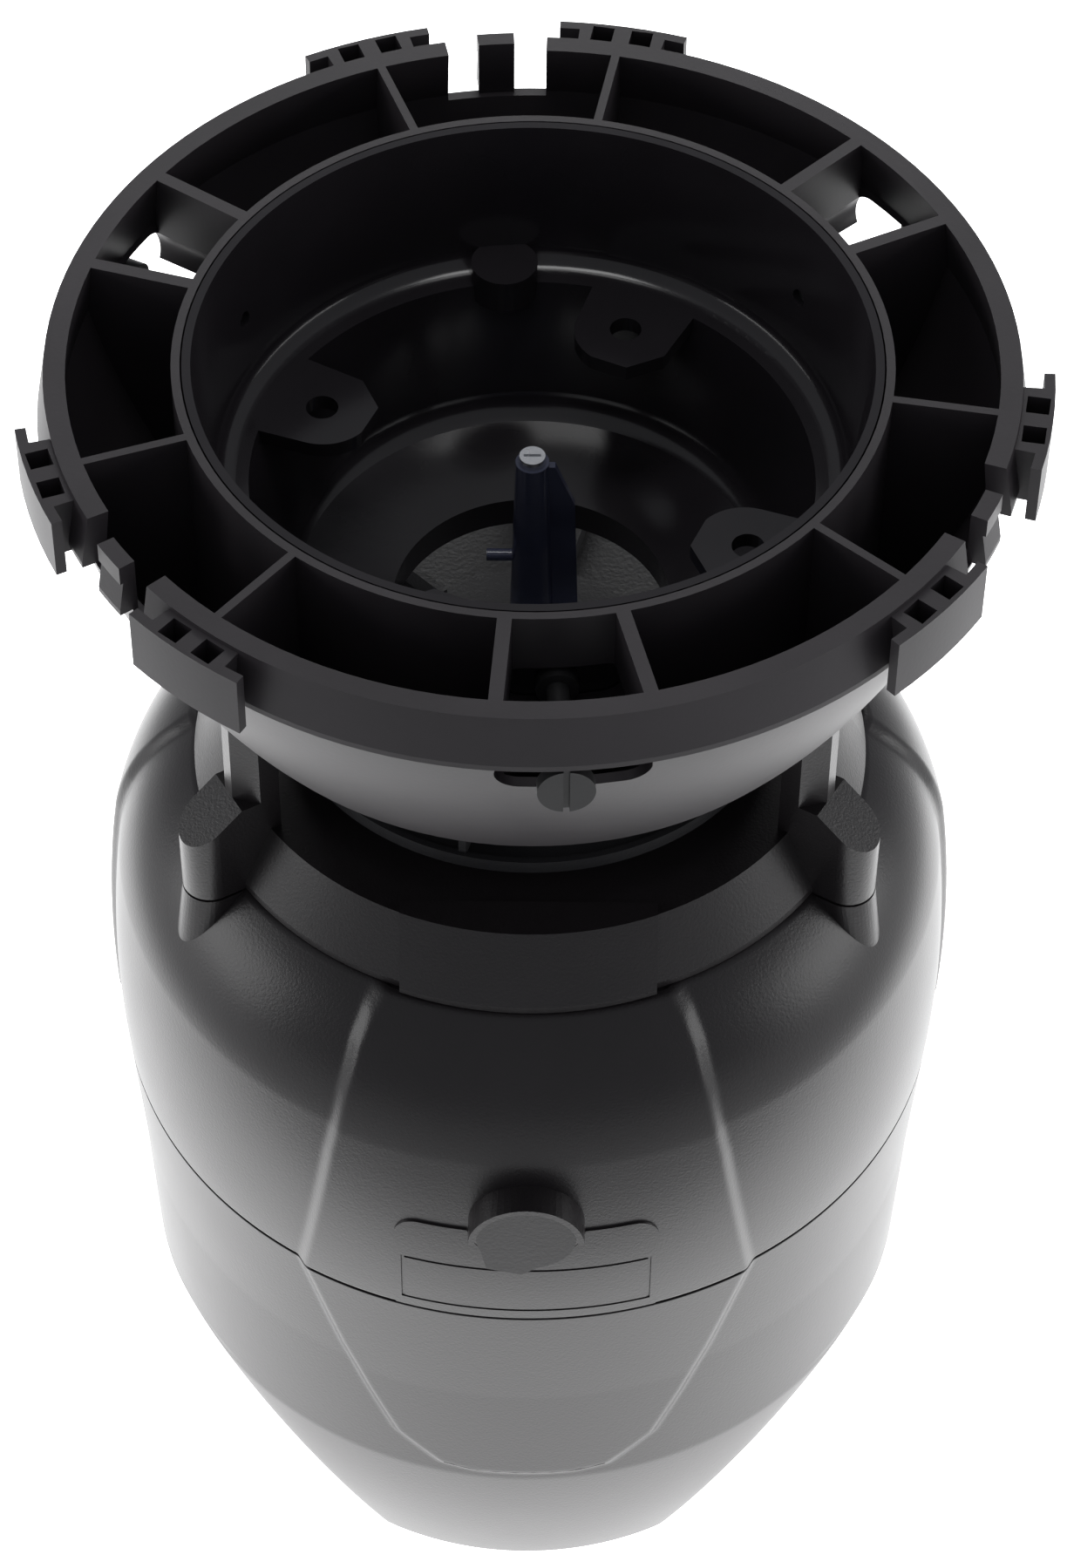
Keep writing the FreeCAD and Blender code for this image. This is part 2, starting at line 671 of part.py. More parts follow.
cap_cuts = (copies("post_hole_copy", post_hole, [str(a) for a in POST_DIRECTIONS])
            + copies("post_recess_copy", post_recess, [str(a) for a in POST_DIRECTIONS])
            + copies("boss_hole_copy", boss_hole, [str(a) for a in PANEL_DIRECTIONS])
            + copies("motor_hole_copy", motor_hole, [str(a) for a in POST_DIRECTIONS]))
node("top_cap", cut("top_cap", cap_solid, cap_cuts))

node("cap_gasket", turned("cap_gasket", rectangle(
    "RingRadius - 33.6", DECK, CAP_RADIUS + " - 0.6", SEAM)))

# ---------------------------------------------------------------- funnel
NECK = "(OverallHeight - NeckDrop)"
funnel_body = turned("funnel_body", [
    (SKIRT, TOP),
    (SKIRT, POST_TOP),
    (SKIRT_INNER, POST_TOP),
    (SKIRT_INNER, LEDGE_UNDER),
    ("RingRadius - 42.5", LEDGE_UNDER),
    ("RingRadius - 47.7", BOWL_FOOT + " - 4.4"),
    ("OutletRadius + FunnelWall", NECK + " + 6"),
    ("OutletRadius + FunnelWall", NECK),
    ("OutletRadius", NECK),
    ("OutletRadius", NECK + " + 8"),
    ("RingRadius - 54.5", BOWL_FOOT + " - 2.9", "8"),
    ("RingRadius - 50.1", BOWL_FOOT + " + 3"),
    ("RingRadius - 44.5", LEDGE),
    ("RingRadius - 41.5", LEDGE, "5"),
    ("RingRadius - 36.6", LEDGE + " + 5"),
    (SKIRT_INNER, TOP),
])
lug = slab("lug", [
    ("RingRadius - LugInset - LugRadius", "0 - LugRadius * 0.45"),
    ("RingRadius - LugInset - LugRadius * 0.4", "0 - LugRadius"),
    ("RingRadius - 42", "0 - LugRadius - 1.5"),
    ("RingRadius - 42", "LugRadius + 1.5"),
    ("RingRadius - LugInset - LugRadius * 0.15", "LugRadius", "LugRadius"),
    ("RingRadius - LugInset - LugRadius", "LugRadius * 0.3"),
], "LedgeThick", "XY")
place(lug, z=LEDGE_UNDER)
lug_turns = ["LugTurn - 90 + %d" % (90 * k) for k in range(4)]
lugs = copies("lug_copy", lug, lug_turns)
funnel_boss = box("funnel_boss", "12.6", "12", LEDGE_UNDER + " + 2 - " + POST_TOP,
                  "RingRadius - 44", "0 - 6", POST_TOP)
funnel_bosses = copies("funnel_boss_copy", funnel_boss, [str(a) for a in POST_DIRECTIONS])
ledge_rib = drum("ledge_rib", "8", "LedgeThick + 5", "RingRadius - 42.5", "0",
                 LEDGE_UNDER)
ledge_ribs = copies("ledge_rib_copy", ledge_rib, ["96"])
lug_hole = drum("lug_hole", "LugHoleRadius", "20", "RingRadius - LugInset", "0",
                LEDGE_UNDER + " - 5")
funnel_thread = drum("funnel_thread", "PostScrewRadius + FastenerGap / 2", "17",
                     "RingRadius - PostScrewInset", "0", POST_TOP + " - 1")
guide_thread = rod_x("guide_thread", "GuideThread + FastenerGap / 2", "12",
                     SKIRT + " - 8", "0", GUIDE_LEVEL)
guide_turns = ["GuideTurn - 90 + %d" % (120 * k) for k in range(3)]
funnel_cuts = (copies("lug_hole_copy", lug_hole, lug_turns)
               + copies("funnel_thread_copy", funnel_thread,
                        [str(a) for a in POST_DIRECTIONS])
               + copies("guide_thread_copy", guide_thread, guide_turns))
funnel_solid = fuse("funnel_solid", [funnel_body] + lugs + funnel_bosses + ledge_ribs)
node("funnel", cut("funnel", funnel_solid, funnel_cuts))

guide_head = rod_x("guide_head", "GuideHeadRadius", "GuideHeadThick",
                   "RingRadius - 0.7", "0", GUIDE_LEVEL)
guide_shoulder = rod_x("guide_shoulder", "GuideShoulder",
                       "RingRadius - 0.7 - " + SKIRT, SKIRT, "0", GUIDE_LEVEL)
guide_core = rod_x("guide_core", "GuideThread", "6", SKIRT + " - 2.6", "0", GUIDE_LEVEL)
guide_drive = box("guide_drive", "4", "1.4", "20", "RingRadius + 1.1", "0 - 0.7",
                  GUIDE_LEVEL + " - 10")
waist_outer = rod_x("guide_waist_outer", "GuideShoulder + 1", "TroughWidth - 8.5",
                    "RingRadius - TroughWidth + 1.5", "0", GUIDE_LEVEL)
waist_core = rod_x("guide_waist_core", "GuideWaist", "TroughWidth - 8.5",
                   "RingRadius - TroughWidth + 1.5", "0", GUIDE_LEVEL)
guide_waist = cut("guide_waist", waist_outer, [waist_core])
guide_bolt = cut("guide_bolt", fuse("guide_bolt_solid", [guide_head, guide_shoulder,
                                                         guide_core]),
                 [guide_drive, guide_waist])
guide_group = add("Part::Compound", "guide_screws")
guide_group.Links = copies("guide_bolt_copy", guide_bolt, guide_turns)
node("guide_screws", guide_group)


def screw_group(label, radius, head, head_high, length, along, level, directions, up=True):
    """Identical upright pan-head screws on a circle; the head faces down when up is true."""
    shank = drum(label + "_shank", radius, length, along, "0", level)
    if up:
        head_level = "(%s) - (%s)" % (level, head_high)
        drive_level = head_level + " - 0.1"
    else:
        head_level = "(%s) + (%s)" % (level, length)
        drive_level = head_level + " + (%s) * 0.4" % head_high
    cap = drum(label + "_head", head, head_high, along, "0", head_level)
    wide = box(label + "_wide", "2 * (%s) * 0.6" % head, "0.8", "(%s) * 0.6 + 0.1" % head_high,
               "(%s) - (%s) * 0.6" % (along, head), "0 - 0.4", drive_level)
    tall = box(label + "_tall", "0.8", "2 * (%s) * 0.6" % head, "(%s) * 0.6 + 0.1" % head_high,
               "(%s) - 0.4" % along, "0 - (%s) * 0.6" % head, drive_level)
    screw = cut(label + "_screw", fuse(label + "_solid", [shank, cap]), [wide, tall])
    group = add("Part::Compound", label)
    group.Links = copies(label + "_copy", screw, [str(a) for a in directions])
    return node(label, group)


screw_group("post_screws", "PostScrewRadius", "3.2", "2.2",
            POST_TOP + " + 12 - " + PLATEAU_UNDER + " + 10",
            "RingRadius - PostScrewInset", PLATEAU_UNDER + " - 7", POST_DIRECTIONS)
screw_group("cap_screws", "1.5", "3.2", "2.2", "HousingWall + SeamGap + 8",
            "RingRadius - CapScrewInset", DECK_UNDER, PANEL_DIRECTIONS)
screw_group("motor_screws", "1.5", "3", "1.8", "CapWall + MotorPlateThick + 1",
            "MotorScrewCircle", PLATEAU + " - CapWall - MotorPlateThick - 1",
            POST_DIRECTIONS, up=False)
screw_group("chassis_screws", "1.5", "3.2", "2.2", "ChassisThick + 10",
            CHASSIS_POST_AT, CHASSIS, POST_DIRECTIONS)

# ---------------------------------------------------------------- adapter ring
ring_profile = [
    ("RingRadius - RingWall", TOP),
    ("RingRadius - 3.5", LIP + " + 0.6", "0 - BowlArc + BowlWall"),
    ("RingRadius - 27.2", BOWL_FOOT + " + 4.6"),
    ("RingRadius - TroughWidth", BOWL_FOOT + " + 5"),
    ("RingRadius - TroughWidth", TOP),
    (BORE, TOP),
    (BORE, BOWL_FOOT),
    ("RingRadius - 26.6", BOWL_FOOT, "BowlArc"),
    ("RingRadius - 1", LIP),
    ("RingRadius + LipFlare", LIP),
    ("RingRadius + LipFlare", LIP + " + 1.5"),
    ("RingRadius", TOP),
]
ring_body = turned("ring_body", ring_profile)
ring_envelope = turned("ring_envelope", [
    (BORE + " + 0.5", TOP),
    (BORE + " + 0.5", BOWL_FOOT),
    ("RingRadius - 26.6", BOWL_FOOT, "BowlArc"),
    ("RingRadius - 1", LIP),
    ("RingRadius - 1.2", TOP),
])


def rib_set(label, width, turns):
    """Radial ribs that fill the trough at the given directions."""
    blade = box(label, "TroughWidth + 4", width, "BowlDrop + 10",
                "RingRadius - TroughWidth - 1.5", "0 - (%s) / 2" % width, BOWL_FOOT + " - 5")
    return copies(label + "_copy", blade, turns)


def around(angles):
    """Expressions for directions about the ring's own zero at the front."""
    return ["RingTurn - 90 + (%s)" % angle for angle in angles]


window_turns = []
clip_turns = []
notch_turns = []
for third in (0, 120, 240):
    window_turns += ["%d + WindowRibAngle" % third, "%d - WindowRibAngle" % third]
    clip_turns += ["%d + 60 + ClipAngle" % third, "%d + 60 - ClipAngle" % third]
    notch_turns += ["%d + 60" % third]

rib_blades = (rib_set("window_rib", "WindowRibWidth", around(window_turns))
              + rib_set("clip_rib", "ClipRibWidth", around(clip_turns)))
ribs = common("ribs", fuse("rib_blades", rib_blades), ring_envelope)

clip_low = "(" + TOP + " - ClipHeight - 1)"
clip_plate = sector("clip_plate", rectangle(
    "RingRadius + ClipReach - ClipPlate", clip_low, "RingRadius + ClipReach", TOP + " - 1"),
    "0", "ClipPlateAngle / 2 * 2")
clip_web = sector("clip_web", rectangle(
    "RingRadius - 1.5", clip_low + " + 1", "RingRadius + ClipReach - 1", TOP + " - 1"),
    "0", "ClipWebAngle")
core_parts = []
for side in ("1", "0 - 1"):
    core_parts.append(box("core_hole", "CoreHole", "CoreHole", "ClipHeight + 6",
                          "RingRadius + 0.9", "(%s) * 4.7 - CoreHole / 2" % side,
                          clip_low + " + 3"))
clip = cut("clip", fuse("clip_solid", [clip_plate, clip_web]), core_parts)
clips = copies("clip_copy", clip, around(clip_turns))
hook = sector("tab_hook", rectangle("RingRadius - 2", TOP + " - 5", "RingRadius + 1.6", TOP),
              "0", "TabAngle")
hooks = copies("tab_hook_copy", hook, around(notch_turns))
nub = box("lip_nub", "2.2", "1.9", "1.9", "RingRadius - 1", "0 - 0.95", LIP + " + 0.5")
nub_turns = []
for third in (0, 120, 240):
    nub_turns += ["%d + 31.5" % third, "%d - 31.5" % third]
nubs = copies("lip_nub_copy", nub, around(nub_turns))
ring_solid = fuse("ring_solid", [ring_body, ribs] + clips + hooks + nubs)

notch_half = "(NotchAngle - TabAngle) / 2"
notch_mid = "(NotchAngle + TabAngle) / 2"
notch_left = sector("notch_left", rectangle(
    "RingRadius - RingWall - 3.5", TOP + " - NotchDepth", "RingRadius + 5", TOP + " + 2"),
    "0 - " + notch_mid, notch_half)
notch_right = sector("notch_right", rectangle(
    "RingRadius - RingWall - 3.5", TOP + " - NotchDepth", "RingRadius + 5", TOP + " + 2"),
    notch_mid, notch_half)
tab_back = sector("tab_back", rectangle(
    "RingRadius - RingWall - 3.5", TOP + " - NotchDepth", "RingRadius - 2.4", TOP + " + 2"),
    "0", "TabAngle + 0.2")
slot_low = "(" + GUIDE_LEVEL + " - SlotRadius)"
slot_sector = sector("slot_sector", rectangle(
    BORE + " - 1", slot_low, "RingRadius + 6", slot_low + " + 2 * SlotRadius"),
    "0", "SlotAngle")
slot_end = rod_x("slot_end", "SlotRadius", "RingRadius + 6 - " + BORE + " + 1",
                 BORE + " - 1", "0", GUIDE_LEVEL)
slot_turns = ["0", "120", "240"]
slot_end_turns = []
for third in (0, 120, 240):
    slot_end_turns += ["%d + SlotAngle" % third, "%d - SlotAngle" % third]
rear_window = sector("rear_window", rectangle(
    "RingRadius - 24", TOP + " - 37", "RingRadius + 1", TOP + " - 25"), "0", "6.5")
ring_cuts = (copies("notch_left_copy", notch_left, around(notch_turns))
             + copies("notch_right_copy", notch_right, around(notch_turns))
             + copies("tab_back_copy", tab_back, around(notch_turns))
             + copies("slot_copy", slot_sector, around(slot_turns))
             + copies("slot_end_copy", slot_end, around(slot_end_turns))
             + copies("rear_window_copy", rear_window, around(["130.5", "0 - 130.5"])))
node("adapter_ring", cut("adapter_ring", ring_solid, ring_cuts))

# ---------------------------------------------------------------- spinner
SPIN_LOW = "(" + PLATEAU + " + SpinPlateLift)"
SPIN_TOP = "(" + PLATEAU + " + SpinPlateLift + SpinPlateThick)"
DISC_TOP = "(" + SPIN_TOP + " + SpinDiscRise)"
SHAFT_TOP = "(" + DISC_TOP + " + 6)"
SHAFT_LOW = "(" + SHAFT_TOP + " - ShaftLength)"
plate_body = turned("spin_plate_body", [
    ("ShaftRadius", SPIN_LOW),
    ("RingRadius - SpinPlateInset", SPIN_LOW),
    ("RingRadius - SpinPlateInset", SPIN_TOP + " + 1.2"),
    ("RingRadius - SpinPlateInset - 1.6", SPIN_TOP + " + 1.2"),
    ("RingRadius - SpinPlateInset - 1.6", SPIN_TOP),
    ("SpinDiscRadius + 3", SPIN_TOP),
    ("SpinDiscRadius", DISC_TOP),
    ("ShaftRadius", DISC_TOP),
])
fin = box("spin_fin", "RingRadius - SpinPlateInset - 1 - SpinDiscRadius", "1.8", "FinHeight",
          "SpinDiscRadius", "0 - 0.9", SPIN_TOP + " - 0.5")
fin_turns = ["360 / FinCount * %d + 15" % k for k in range(6)]
fins = copies("spin_fin_copy", fin, fin_turns)
node("spin_plate", fuse("spin_plate", [plate_body] + fins))

hub_solid = turned("hub_solid", rectangle("ShaftRadius", PLATEAU + " + 1.4", "HubRadius",
                                          SPIN_LOW))
hub_hole = rod_x("hub_hole", "1.2", "12", "0", "0", PLATEAU + " + 3.9")
node("spinner_hub", cut("spinner_hub", hub_solid, [hub_hole]))
node("hub_set_screw", rod_x("hub_set_screw", "1.15", "HubRadius - ShaftRadius - 0.6",
                            "ShaftRadius + 0.1", "0", PLATEAU + " + 3.9"))
node("motor_shaft", drum("motor_shaft", "ShaftRadius", "ShaftLength", "0", "0", SHAFT_LOW))

agitator_cone = cone("agitator_cone", "AgitatorBase", "AgitatorTop", "AgitatorRise", DISC_TOP)
agitator_foot = drum("agitator_foot", "AgitatorBase + 3", "3", "0", "0", DISC_TOP)
agitator_fin = slab("agitator_fin", [
    ("2", DISC_TOP),
    ("AgitatorBase + 6", DISC_TOP),
    ("AgitatorBase + 4.4", DISC_TOP + " + AgitatorRise * 0.8"),
    ("AgitatorTop + 1.4", DISC_TOP + " + AgitatorRise - 1"),
    ("2", DISC_TOP + " + AgitatorRise - 1"),
], "AgitatorFin")
agitator_peg = rod_x("agitator_peg", "1.5", "8", "0 - AgitatorBase - 5", "0",
                     DISC_TOP + " + 36")
agitator_bore = drum("agitator_bore", "ShaftRadius", "6", "0", "0", DISC_TOP)
tip_bore = drum("tip_bore", "1.6", "14", "0", "0", DISC_TOP + " + AgitatorRise - 12")
node("agitator_post", cut("agitator_post", fuse("agitator_solid", [
    agitator_cone, agitator_foot, agitator_fin, agitator_peg]), [agitator_bore, tip_bore]))
tip_shank = drum("tip_shank", "1.5", "12", "0", "0", DISC_TOP + " + AgitatorRise - 11")
tip_head = drum("tip_head", "3", "2", "0", "0", DISC_TOP + " + AgitatorRise")
tip_drive = box("tip_drive", "4", "0.8", "2", "0 - 2", "0 - 0.4",
                DISC_TOP + " + AgitatorRise + 1.1")
node("agitator_screw", cut("agitator_screw", fuse("tip_solid", [tip_shank, tip_head]),
                           [tip_drive]))

# ---------------------------------------------------------------- drive
node("shaft_seal", turned("shaft_seal", [
    ("ShaftRadius + RunningGap", PLATEAU_UNDER),
    ("SealRadius", PLATEAU_UNDER),
    ("SealRadius", PLATEAU + " + 0.4"),
    ("ShaftRadius + RunningGap + 1", PLATEAU + " + 0.9"),
    ("ShaftRadius + RunningGap", PLATEAU + " + 0.9"),
]))
plate_low = "(" + PLATEAU_UNDER + " - MotorPlateThick)"
motor_plate_solid = turned("motor_plate_solid", rectangle(
    "ShaftRadius + 1.5", plate_low, "MotorPlateRadius", PLATEAU_UNDER))
motor_plate_hole = drum("motor_plate_hole", "1.5 + FastenerGap / 2", "20",
                        "MotorScrewCircle", "0", plate_low + " - 5")
node("motor_plate", cut("motor_plate", motor_plate_solid, copies(
    "motor_plate_hole_copy", motor_plate_hole, [str(a) for a in POST_DIRECTIONS])))
node("gearbox", turned("gearbox", [
    ("ShaftRadius + RunningGap", plate_low + " - GearboxHeight"),
    ("GearboxRadius - 1", plate_low + " - GearboxHeight"),
    ("GearboxRadius", plate_low + " - GearboxHeight + 1"),
    ("GearboxRadius", plate_low),
    ("ShaftRadius + RunningGap", plate_low),
]))
can_top = "(" + plate_low + " - GearboxHeight)"
can_low = "(" + can_top + " - MotorHeight)"
node("motor_can", turned("motor_can", [
    ("0", can_low),
    ("MotorRadius - 1.5", can_low),
    ("MotorRadius", can_low + " + 1.5"),
    ("MotorRadius", can_top),
    ("ShaftRadius + RunningGap", can_top),
    ("ShaftRadius + RunningGap", SHAFT_LOW + " - 1"),
    ("0", SHAFT_LOW + " - 1"),
]))
terminal = box("motor_terminal", "5", "0.8", "6", "6", "0 - 0.4", can_low + " - 6")
terminal_group = add("Part::Compound", "motor_terminals")
terminal_group.Links = copies("motor_terminal_copy", terminal, ["0", "180"])
node("motor_terminals", terminal_group)

# ---------------------------------------------------------------- chassis and battery
chassis_disc = drum("chassis_disc", "RingRadius - ChassisInset", "ChassisThick", "0", "0",
                    CHASSIS)
chassis_bolt_hole = drum("chassis_bolt_hole", "1.5 + FastenerGap", "20", CHASSIS_POST_AT, "0",
                         CHASSIS + " - 5")
cable_hole = box("cable_hole", "17", "4.8", "10", "0 - 8.5", "0 - 21.4", CHASSIS + " - 5")
node("chassis_plate", cut("chassis_plate", chassis_disc, [cable_hole] + copies(
    "chassis_bolt_hole_copy", chassis_bolt_hole, [str(a) for a in POST_DIRECTIONS])))

BATTERY_Y = "(0 - 4)"
battery_low = "(" + CHASSIS + " - BatteryHeight - 10)"
battery_case = box("battery_case", "BatteryWidth", "BatteryDepth", "BatteryHeight",
                   "0 - BatteryWidth / 2", BATTERY_Y, battery_low)
battery_rim = box("battery_rim", "BatteryWidth - 8", "BatteryDepth - 8", "3",
                  "0 - BatteryWidth / 2 + 4", BATTERY_Y + " + 4",
                  battery_low + " + BatteryHeight - 0.5")
node("battery", fuse("battery", [battery_case, battery_rim]))
tab_left = box("battery_tab_left", "0.8", "4.8", "5", "0 - 22", BATTERY_Y + " + 9",
               battery_low + " + BatteryHeight + 2.5")
tab_right = box("battery_tab_right", "0.8", "4.8", "5", "22", BATTERY_Y + " + 9",
                battery_low + " + BatteryHeight + 2.5")
tabs = add("Part::Compound", "battery_terminals")
tabs.Links = [tab_left, tab_right]
node("battery_terminals", tabs)
tray_low = "(" + battery_low + " - TrayWall)"
tray_outer = box("tray_outer", "BatteryWidth + 2 * TrayWall + 1",
                 "BatteryDepth + 2 * TrayWall + 1", "TrayWall + TrayLip",
                 "0 - BatteryWidth / 2 - TrayWall - 0.5", BATTERY_Y + " - TrayWall - 0.5",
                 tray_low)
tray_room = box("tray_room", "BatteryWidth + 1", "BatteryDepth + 1", "TrayLip + 5",
                "0 - BatteryWidth / 2 - 0.5", BATTERY_Y + " - 0.5", battery_low)
tray_arm = box("tray_arm", "4", "14", CHASSIS + " - " + tray_low,
               "BatteryWidth / 2 + 0.5", BATTERY_Y + " + BatteryDepth / 2 - 7", tray_low)
tray_arm_far = box("tray_arm_far", "4", "14", CHASSIS + " - " + tray_low,
                   "0 - BatteryWidth / 2 - 4.5", BATTERY_Y + " + BatteryDepth / 2 - 7",
                   tray_low)
node("battery_tray", fuse("battery_tray", [
    cut("tray_open", tray_outer, [tray_room]), tray_arm, tray_arm_far]))
strap_level = "(" + battery_low + " + BatteryHeight * 0.55)"
strap_outer = box("strap_outer", "BatteryWidth + 9 + 2 * StrapThick + 1",
                  "BatteryDepth + 2 * StrapThick + 1", "StrapWidth",
                  "0 - BatteryWidth / 2 - 4.5 - StrapThick - 0.5",
                  BATTERY_Y + " - StrapThick - 0.5", strap_level)
strap_inner = box("strap_inner", "BatteryWidth + 10", "BatteryDepth + 1", "StrapWidth + 4",
                  "0 - BatteryWidth / 2 - 5", BATTERY_Y + " - 0.5", strap_level + " - 2")
node("battery_strap", cut("battery_strap", strap_outer, [strap_inner]))

# ---------------------------------------------------------------- timer
TIMER_Y = "(0 - 4 - 12 - TimerDepth)"
timer_low = "(" + CHASSIS + " - TimerHeight)"
case_outer = box("case_outer", "TimerWidth", "TimerDepth", "TimerHeight",
                 "0 - TimerWidth / 2", TIMER_Y, timer_low)
case_room = box("case_room", "TimerWidth - 2 * TimerWall", "TimerDepth - TimerWall + 1",
                "TimerHeight - 2 * TimerWall", "0 - TimerWidth / 2 + TimerWall",
                TIMER_Y + " + TimerWall", timer_low + " + TimerWall")
display_level = "(" + timer_low + " + TimerHeight * 0.55)"
display_hole = box("display_hole", "DisplayWidth", "10", "DisplayHeight",
                   "0 - DisplayWidth / 2", TIMER_Y + " - 5", display_level)
button_level = "(" + timer_low + " + TimerHeight * 0.24)"
button_columns = ["(0 - 1.5) * ButtonPitch", "(0 - 0.5) * ButtonPitch", "0.5 * ButtonPitch",
                  "1.5 * ButtonPitch"]
case_cuts = [case_room, display_hole, cable_hole]
for index, column in enumerate(button_columns):
    case_cuts.append(rod_y("button_hole_%d" % index, "ButtonRadius + RunningGap", "10",
                           column, TIMER_Y + " - 5", button_level))
node("timer_case", cut("timer_case", case_outer, case_cuts))

board_y = "(" + TIMER_Y + " + TimerDepth - 8)"
node("circuit_board", box("circuit_board", "TimerWidth - 2 * TimerWall - 1", "BoardThick",
                          "TimerHeight - 2 * TimerWall - 1",
                          "0 - TimerWidth / 2 + TimerWall + 0.5", board_y,
                          timer_low + " + TimerWall + 0.5"))
node("display_module", box("display_module", "DisplayWidth + 4",
                           board_y + " - " + TIMER_Y + " - TimerWall - 2",
                           "DisplayHeight + 4", "0 - DisplayWidth / 2 - 2",
                           TIMER_Y + " + TimerWall + 2", display_level + " - 2"))
node("display_lens", box("display_lens", "DisplayWidth + 6", "1.6", "DisplayHeight + 6",
                         "0 - DisplayWidth / 2 - 3", TIMER_Y + " + TimerWall",
                         display_level + " - 3"))
button_names = ["button_mode", "button_set", "button_up", "button_down"]
for name, column in zip(button_names, button_columns):
    stem = rod_y(name + "_stem", "ButtonRadius", "TimerWall + 4.4", column,
                 TIMER_Y + " - 1.6", button_level)
    flange = rod_y(name + "_flange", "ButtonRadius + 1", "1", column,
                   TIMER_Y + " + TimerWall + 0.3", button_level)
    node(name, fuse(name, [stem, flange]))
switch_parts = []
for index, column in enumerate(button_columns):
    switch_parts.append(box("switch_%d" % index, "6", board_y + " - (" + TIMER_Y
                            + " + TimerWall + 2.8 + ButtonTravel + 0.4)", "6",
                            column + " - 3",
                            TIMER_Y + " + TimerWall + 2.8 + ButtonTravel + 0.4",
                            button_level + " - 3"))
switches = add("Part::Compound", "button_switches")
switches.Links = switch_parts
node("button_switches", switches)
ear = box("timer_foot", "8", "10", "3", "TimerWidth / 2", TIMER_Y + " + 8", CHASSIS + " - 3")
ear_far = box("timer_foot_far", "8", "10", "3", "0 - TimerWidth / 2 - 8", TIMER_Y + " + 8",
              CHASSIS + " - 3")
ears = add("Part::Compound", "timer_brackets")
ears.Links = [ear, ear_far]
node("timer_brackets", ears)

# ---------------------------------------------------------------- charging port
jack_barrel = rod_y("jack_barrel", "JackRadius", "18", "0", "0 - " + PORT_FACE, PORT_LEVEL)
jack_bore = rod_y("jack_bore", "JackBore + RunningGap", "10",
                  "0", "0 - " + PORT_FACE + " - 1", PORT_LEVEL)
node("charge_jack", cut("charge_jack", jack_barrel, [jack_bore]))
nut_outer = rod_y("nut_outer", "JackRadius + 3", "3", "0", "0 - " + PORT_FACE + " + 10",
                  PORT_LEVEL)
nut_bore = rod_y("nut_bore", "JackRadius", "5", "0", "0 - " + PORT_FACE + " + 9",
                 PORT_LEVEL)
node("jack_nut", cut("jack_nut", nut_outer, [nut_bore]))
plug_face = "(0 - " + PORT_FACE + " - 0.3 - PlugThick)"
plug_disc = rod_y("plug_disc", "PlugRadius", "PlugThick", "0", plug_face, PORT_LEVEL)
plug_stem = rod_y("plug_stem", "JackBore", "8", "0", "0 - " + PORT_FACE + " - 1", PORT_LEVEL)
plug_tab = slab("plug_tab", [
    ("0 - PlugRadius * 0.93", PORT_LEVEL + " - 4"),
    ("0 - PlugRadius * 0.8", PORT_LEVEL + " - PlugRadius * 1.05"),
    ("0 - 1", PORT_LEVEL + " - PlugRadius * 1.25"),
    ("6", PORT_LEVEL + " - PlugRadius * 0.8"),
    ("0", PORT_LEVEL),
], "2")
place(plug_tab, y=plug_face + " + 1.2")
node("port_plug", fuse("port_plug", [plug_disc, plug_stem, plug_tab]))


# ---------------------------------------------------------------- internal leads
def lead(label, routes):
    """Round wires, each swept along its own smooth path."""
    solids = []
    radius = number("WireRadius")
    for route in routes:
        points = [FreeCAD.Vector(number(x), number(y), number(z)) for x, y, z in route]
        path = Part.BSplineCurve()
        path.interpolate(points)
        edge = path.toShape()
        start = edge.valueAt(edge.FirstParameter)
        heading = edge.tangentAt(edge.FirstParameter)
        circle = Part.Wire([Part.makeCircle(radius, start, heading)])
        solids.append(Part.Wire([edge]).makePipeShell([circle], True, False))
    feature = add("Part::Feature", label)
    feature.Shape = Part.makeCompound(solids)
    return node(label, feature)


motor_foot = "(" + can_low + " - 6)"
lead("motor_leads", [
    [("8.5", "0 - 2", motor_foot + " + 3"), ("13", "0 - 11", motor_foot + " - 8"),
     ("7", "0 - 18.5", CHASSIS_TOP + " + 6"), ("6", "0 - 19", CHASSIS),
     ("6", "0 - 19", CHASSIS + " - 14")],
    [("0 - 8.5", "0 - 2", motor_foot + " + 3"), ("0 - 6", "0 - 11", motor_foot + " - 8"),
     ("1", "0 - 18.5", CHASSIS_TOP + " + 6"), ("2", "0 - 19", CHASSIS),
     ("2", "0 - 19", CHASSIS + " - 14")],
])
tab_top = "(" + battery_low + " + BatteryHeight + 5)"
lead("battery_leads", [
    [("0 - 22.4", BATTERY_Y + " + 8", tab_top), ("0 - 20", "0 - 8", tab_top + " + 0.5"),
     ("0 - 16", "0 - 14", CHASSIS + " - 12"), ("0 - 14", "0 - 17.5", CHASSIS + " - 20")],
    [("22.4", BATTERY_Y + " + 8", tab_top), ("20", "0 - 8", tab_top + " + 0.5"),
     ("16", "0 - 14", CHASSIS + " - 12"), ("14", "0 - 17.5", CHASSIS + " - 20")],
])
jack_back = "(0 - " + PORT_FACE + " + 19)"
